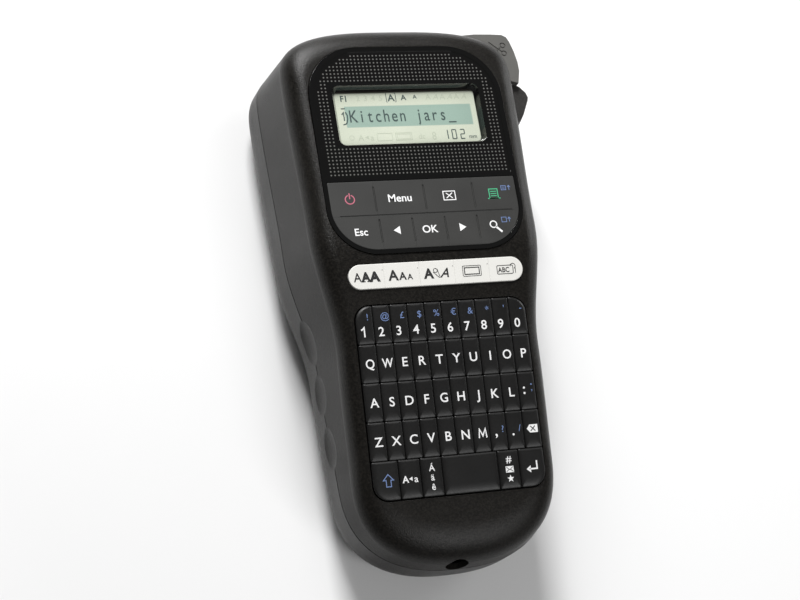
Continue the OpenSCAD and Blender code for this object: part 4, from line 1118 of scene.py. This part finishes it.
arrowUp = [(0, 2.3), (1.9, 0.2), (0.9, 0.2), (0.9, -2.1), (-0.9, -2.1), (-0.9, 0.2), (-1.9, 0.2)]
keyMarks("key_shift", "blueInk", [keyAt(strokes([arrowUp], 0.34, closed=True), 0.85, 4)])
caps, accent, symbol = (wideKeys[name][0] + wideKeys[name][1] / 2 for name in ("caps", "accent", "symbol"))
keyMarks("key_caps", "ink", [keyAt(lettering("A", 2.5, 0.022), caps, 4, -2.0),
                             keyAt(flat([(-0.7, 0), (0.6, 0.75), (0.6, -0.75)]), caps, 4),
                             keyAt(lettering("a", 2.6, 0.01), caps, 4, 2.0)])
keyMarks("key_accent", "ink", [keyAt(lettering(c, 2.4, 0.01), accent, 4, 0, y)
                               for c, y in (("Á", 3.3), ("ä", -0.1), ("ê", -3.5))])
star, starR = [], (1.4, 1.4 * 0.42)
for i in range(10):
    r, a = starR[i % 2], math.pi * i / 5
    star.append((r * math.sin(a), r * math.cos(a)))
keyMarks("key_symbol", "ink", [keyAt(lettering("#", 2.6, 0.012), symbol, 4, 0, 3.8),
                               keyAt(brick(-1.55, 1.55, -1.15, 1.15, 0, ink["thick"]), symbol, 4),
                               keyAt(flat(star[::-1]), symbol, 4, 0, -3.4)])
flap = [[(-1.2, 0.8), (0, -0.2), (1.2, 0.8)], [(-1.2, -0.8), (-0.45, -0.1)], [(1.2, -0.8), (0.45, -0.1)]]
keyMarks("key_symbol", "darkInk", [keyAt(strokes(flap, 0.24), symbol, 4)], "_flap", legend["over"])
keyMarks("key_enter", "ink", [keyAt(strokes([[(2, 2.1), (2, -0.6), (-0.8, -0.6)]], 0.55), 9.2, 4),
                              keyAt(flat([(-2.2, -0.6), (-0.5, 0.7), (-0.5, -1.9)]), 9.2, 4)])
print("keys made")


scissors = {"x": 45.0, "y": 96.6, "ring": 1.0, "line": 0.42, "deep": 0.35, "grip": (2.2, 1.75),
            "tip": (-3.4, 3.1), "thin": 0.02}


def makeLever():
    # the CAD lever with rounded edges, and a pair of scissors sunk into its top
    bm = roundEdges(cadCopy("cutter_lever"), 0.45, 3, 40)
    z = max(v.co.z for v in bm.verts)
    s = scissors
    tools = []
    for way in (-1, 1):
        gx, gy = s["grip"][0], way * s["grip"][1]
        tools.append(carve(rod(gx, gy, s["ring"] + s["line"] / 2, -s["deep"], 1, 24),
                           [rod(gx, gy, s["ring"] - s["line"] / 2, -1, 2, 24)]))
        start = (gx - s["ring"] * 0.8, gy - way * s["ring"] * 0.7)
        bar = strokes([[start, (s["tip"][0], -way * s["tip"][1])]], s["line"])
        bmesh.ops.translate(bar, vec=(0, 0, -s["thin"]), verts=bar.verts)
        bmesh.ops.scale(bar, vec=(1, 1, s["deep"] / s["thin"]), verts=bar.verts)
        tools.append(bar)
    bm = carve(bm, [at(tool, s["x"], s["y"], z) for tool in tools])
    return newObject("cutterLever", scaled(bm), 50)


put(makeLever(), "lever", finishes["lever"], ["cutter_lever"])
guard = newObject("tapeGuard", scaled(roundEdges(cadCopy("tape_guard"), 0.5, 3, 25)), 40)
put(guard, "case", finishes["guard"], ["tape_guard"])

# the thin pin in the middle of the power inlet, which the plug slides over
jackPin = {"r": 0.8, "from": -halfL + 7.7, "to": -halfL + 14.7}
pin = rod(0, 0, jackPin["r"], 0, jackPin["to"] - jackPin["from"], 24)
roundEdges(pin, 0.3, 3, 40)
there = Matrix.Translation((side["jackX"], jackPin["from"], side["jackZ"]))
place(pin, there @ Matrix.Rotation(-math.pi / 2, 4, "X"))
put(newObject("jackPin", scaled(pin)), "case", finishes["steel"])
print("cutter made")


# what is inside keeps its CAD shape, with its own finish
inside = {
    "steel": ["lever_pin", "cutter_blade", "cutter_anvil", "head_bracket", "print_chassis", "drive_motor",
              "case_screws"],
    "wire": ["lever_spring", "battery_contacts"], "brass": ["motor_pinion"],
    "gear": ["platen_gear", "idler_gear_large", "idler_gear_small", "ribbon_spindle"],
    "holder": ["platen_holder"], "cassette": ["tape_cassette"], "white": ["lcd_holder"],
    "tape": ["tape_roll"], "platen": ["platen_roller"], "mat": ["key_mat"], "film": ["flat_cable"],
    "ceramic": ["print_head"], "jack": ["dc_jack"],
}


def boardFinish():
    # green solder mask with gold pads and fine traces
    f = Finish("circuitBoard", Coat_Weight=0.4, Coat_Roughness=0.2)
    x, y, z = f.axes()
    across = abs((x / (2.4 * mm)).fract() - 0.5) < 0.16
    along = abs((y / (3.1 * mm)).fract() - 0.5) < 0.12
    broad = f.noise(70, 2, 0.5)
    base = f.blend(f.span(broad, 0.35, 0.65, 0, 1), (0.006, 0.07, 0.028, 1), (0.01, 0.10, 0.04, 1))
    traced = f.blend((across.larger(along)) * (broad > 0.5), base, (0.02, 0.17, 0.07, 1))
    f.feed("Base Color", f.blend(across * along, traced, (0.62, 0.44, 0.14, 1)))
    f.feed("Roughness", f.span(broad, 0.3, 0.7, 0.3, 0.45))
    f.bump(across.larger(along), 0.00002)
    return f.mat


def cellFinish():
    # printed sleeves: a copper band at one end, dark grey along the rest, with wear
    f = Finish("cellSleeve", Metallic=0.6)
    x, y, z = f.axes()
    band = y > -0.047
    scuff = f.noise(180, 4, 0.6)
    f.feed("Base Color", f.blend(band * (scuff < 0.62), (0.035, 0.037, 0.04, 1), (0.42, 0.20, 0.075, 1)))
    f.feed("Roughness", f.span(scuff, 0.3, 0.7, 0.26, 0.42))
    f.bump(f.noise(500, 2), 0.000008)
    return f.mat


finishes["board"], finishes["cell"] = boardFinish(), cellFinish()
inside["board"], inside["cell"] = ["main_board", "display_board"], ["batteries"]
for finish, names in inside.items():
    for name in names:
        nodes[name].data.materials.clear()
        nodes[name].data.materials.append(finishes[finish])
print("inside finished")


def makeFloor():
    bm = bmesh.new()
    bmesh.ops.create_grid(bm, x_segments=1, y_segments=1, size=3)
    obj = newObject("floor", bm, weighted=False)
    f = Finish("paleFloor")
    f.feed("Base Color", f.blend(f.noise(3, 2), (0.82, 0.82, 0.82, 1), (0.86, 0.86, 0.86, 1)))
    f.feed("Roughness", f.span(f.noise(60), 0.3, 0.7, 0.8, 0.95))
    obj.data.materials.append(f.mat)
    return obj


makeFloor()
studio = {"surround": 0.10, "backdrop": 0.9}


def makeWorld():
    # dim surroundings, so that the black plastic stays dark, in front of a pale backdrop
    world = bpy.data.worlds.new("studio")
    bpy.context.scene.world = world
    world.use_nodes = True
    tree = world.node_tree
    shade = tree.nodes["Background"]
    ray = tree.nodes.new("ShaderNodeLightPath")
    strength = tree.nodes.new("ShaderNodeMapRange")
    for index, value in ((3, studio["surround"]), (4, studio["backdrop"])):
        strength.inputs[index].default_value = value
    tree.links.new(ray.outputs["Is Camera Ray"], strength.inputs[0])
    tree.links.new(strength.outputs[0], shade.inputs[1])
    shade.inputs[0].default_value = (1, 1, 1, 1)


makeWorld()
lights = {
    "keyLight": {"at": (-0.17, 0.95, 0.98), "size": 0.36, "power": 17},
    "rimLight": {"at": (-0.2, 1.2, 0.6), "size": 0.5, "power": 11},
    "fillLight": {"at": (0.35, -0.75, 0.9), "size": 0.5, "power": 4.5},
    "rightLight": {"at": (1.15, 0.45, 0.35), "size": 0.5, "power": 4.5},
}
for name, light in lights.items():
    data = bpy.data.lights.new(name, "AREA")
    data.shape, data.size, data.energy = "SQUARE", light["size"], light["power"]
    lamp = bpy.data.objects.new(name, data)
    bpy.context.scene.collection.objects.link(lamp)
    lamp.location = light["at"]
    lamp.rotation_euler = (Vector((0, 0, 0.03)) - Vector(light["at"])).to_track_quat("-Z", "Y").to_euler()

bpy.context.scene.view_settings.view_transform = "Standard"
view = {"lens": 76.5, "sensor": 36, "at": (-0.2093, -0.1938, 0.6164), "turn": (20.255, -16.020, -9.422)}
lens = bpy.data.cameras.new("camera")
lens.lens, lens.sensor_width = view["lens"], view["sensor"]
camera = bpy.data.objects.new("camera", lens)
bpy.context.scene.collection.objects.link(camera)
camera.location = view["at"]
camera.rotation_euler = [math.radians(a) for a in view["turn"]]
bpy.context.scene.camera = camera
print("studio made")
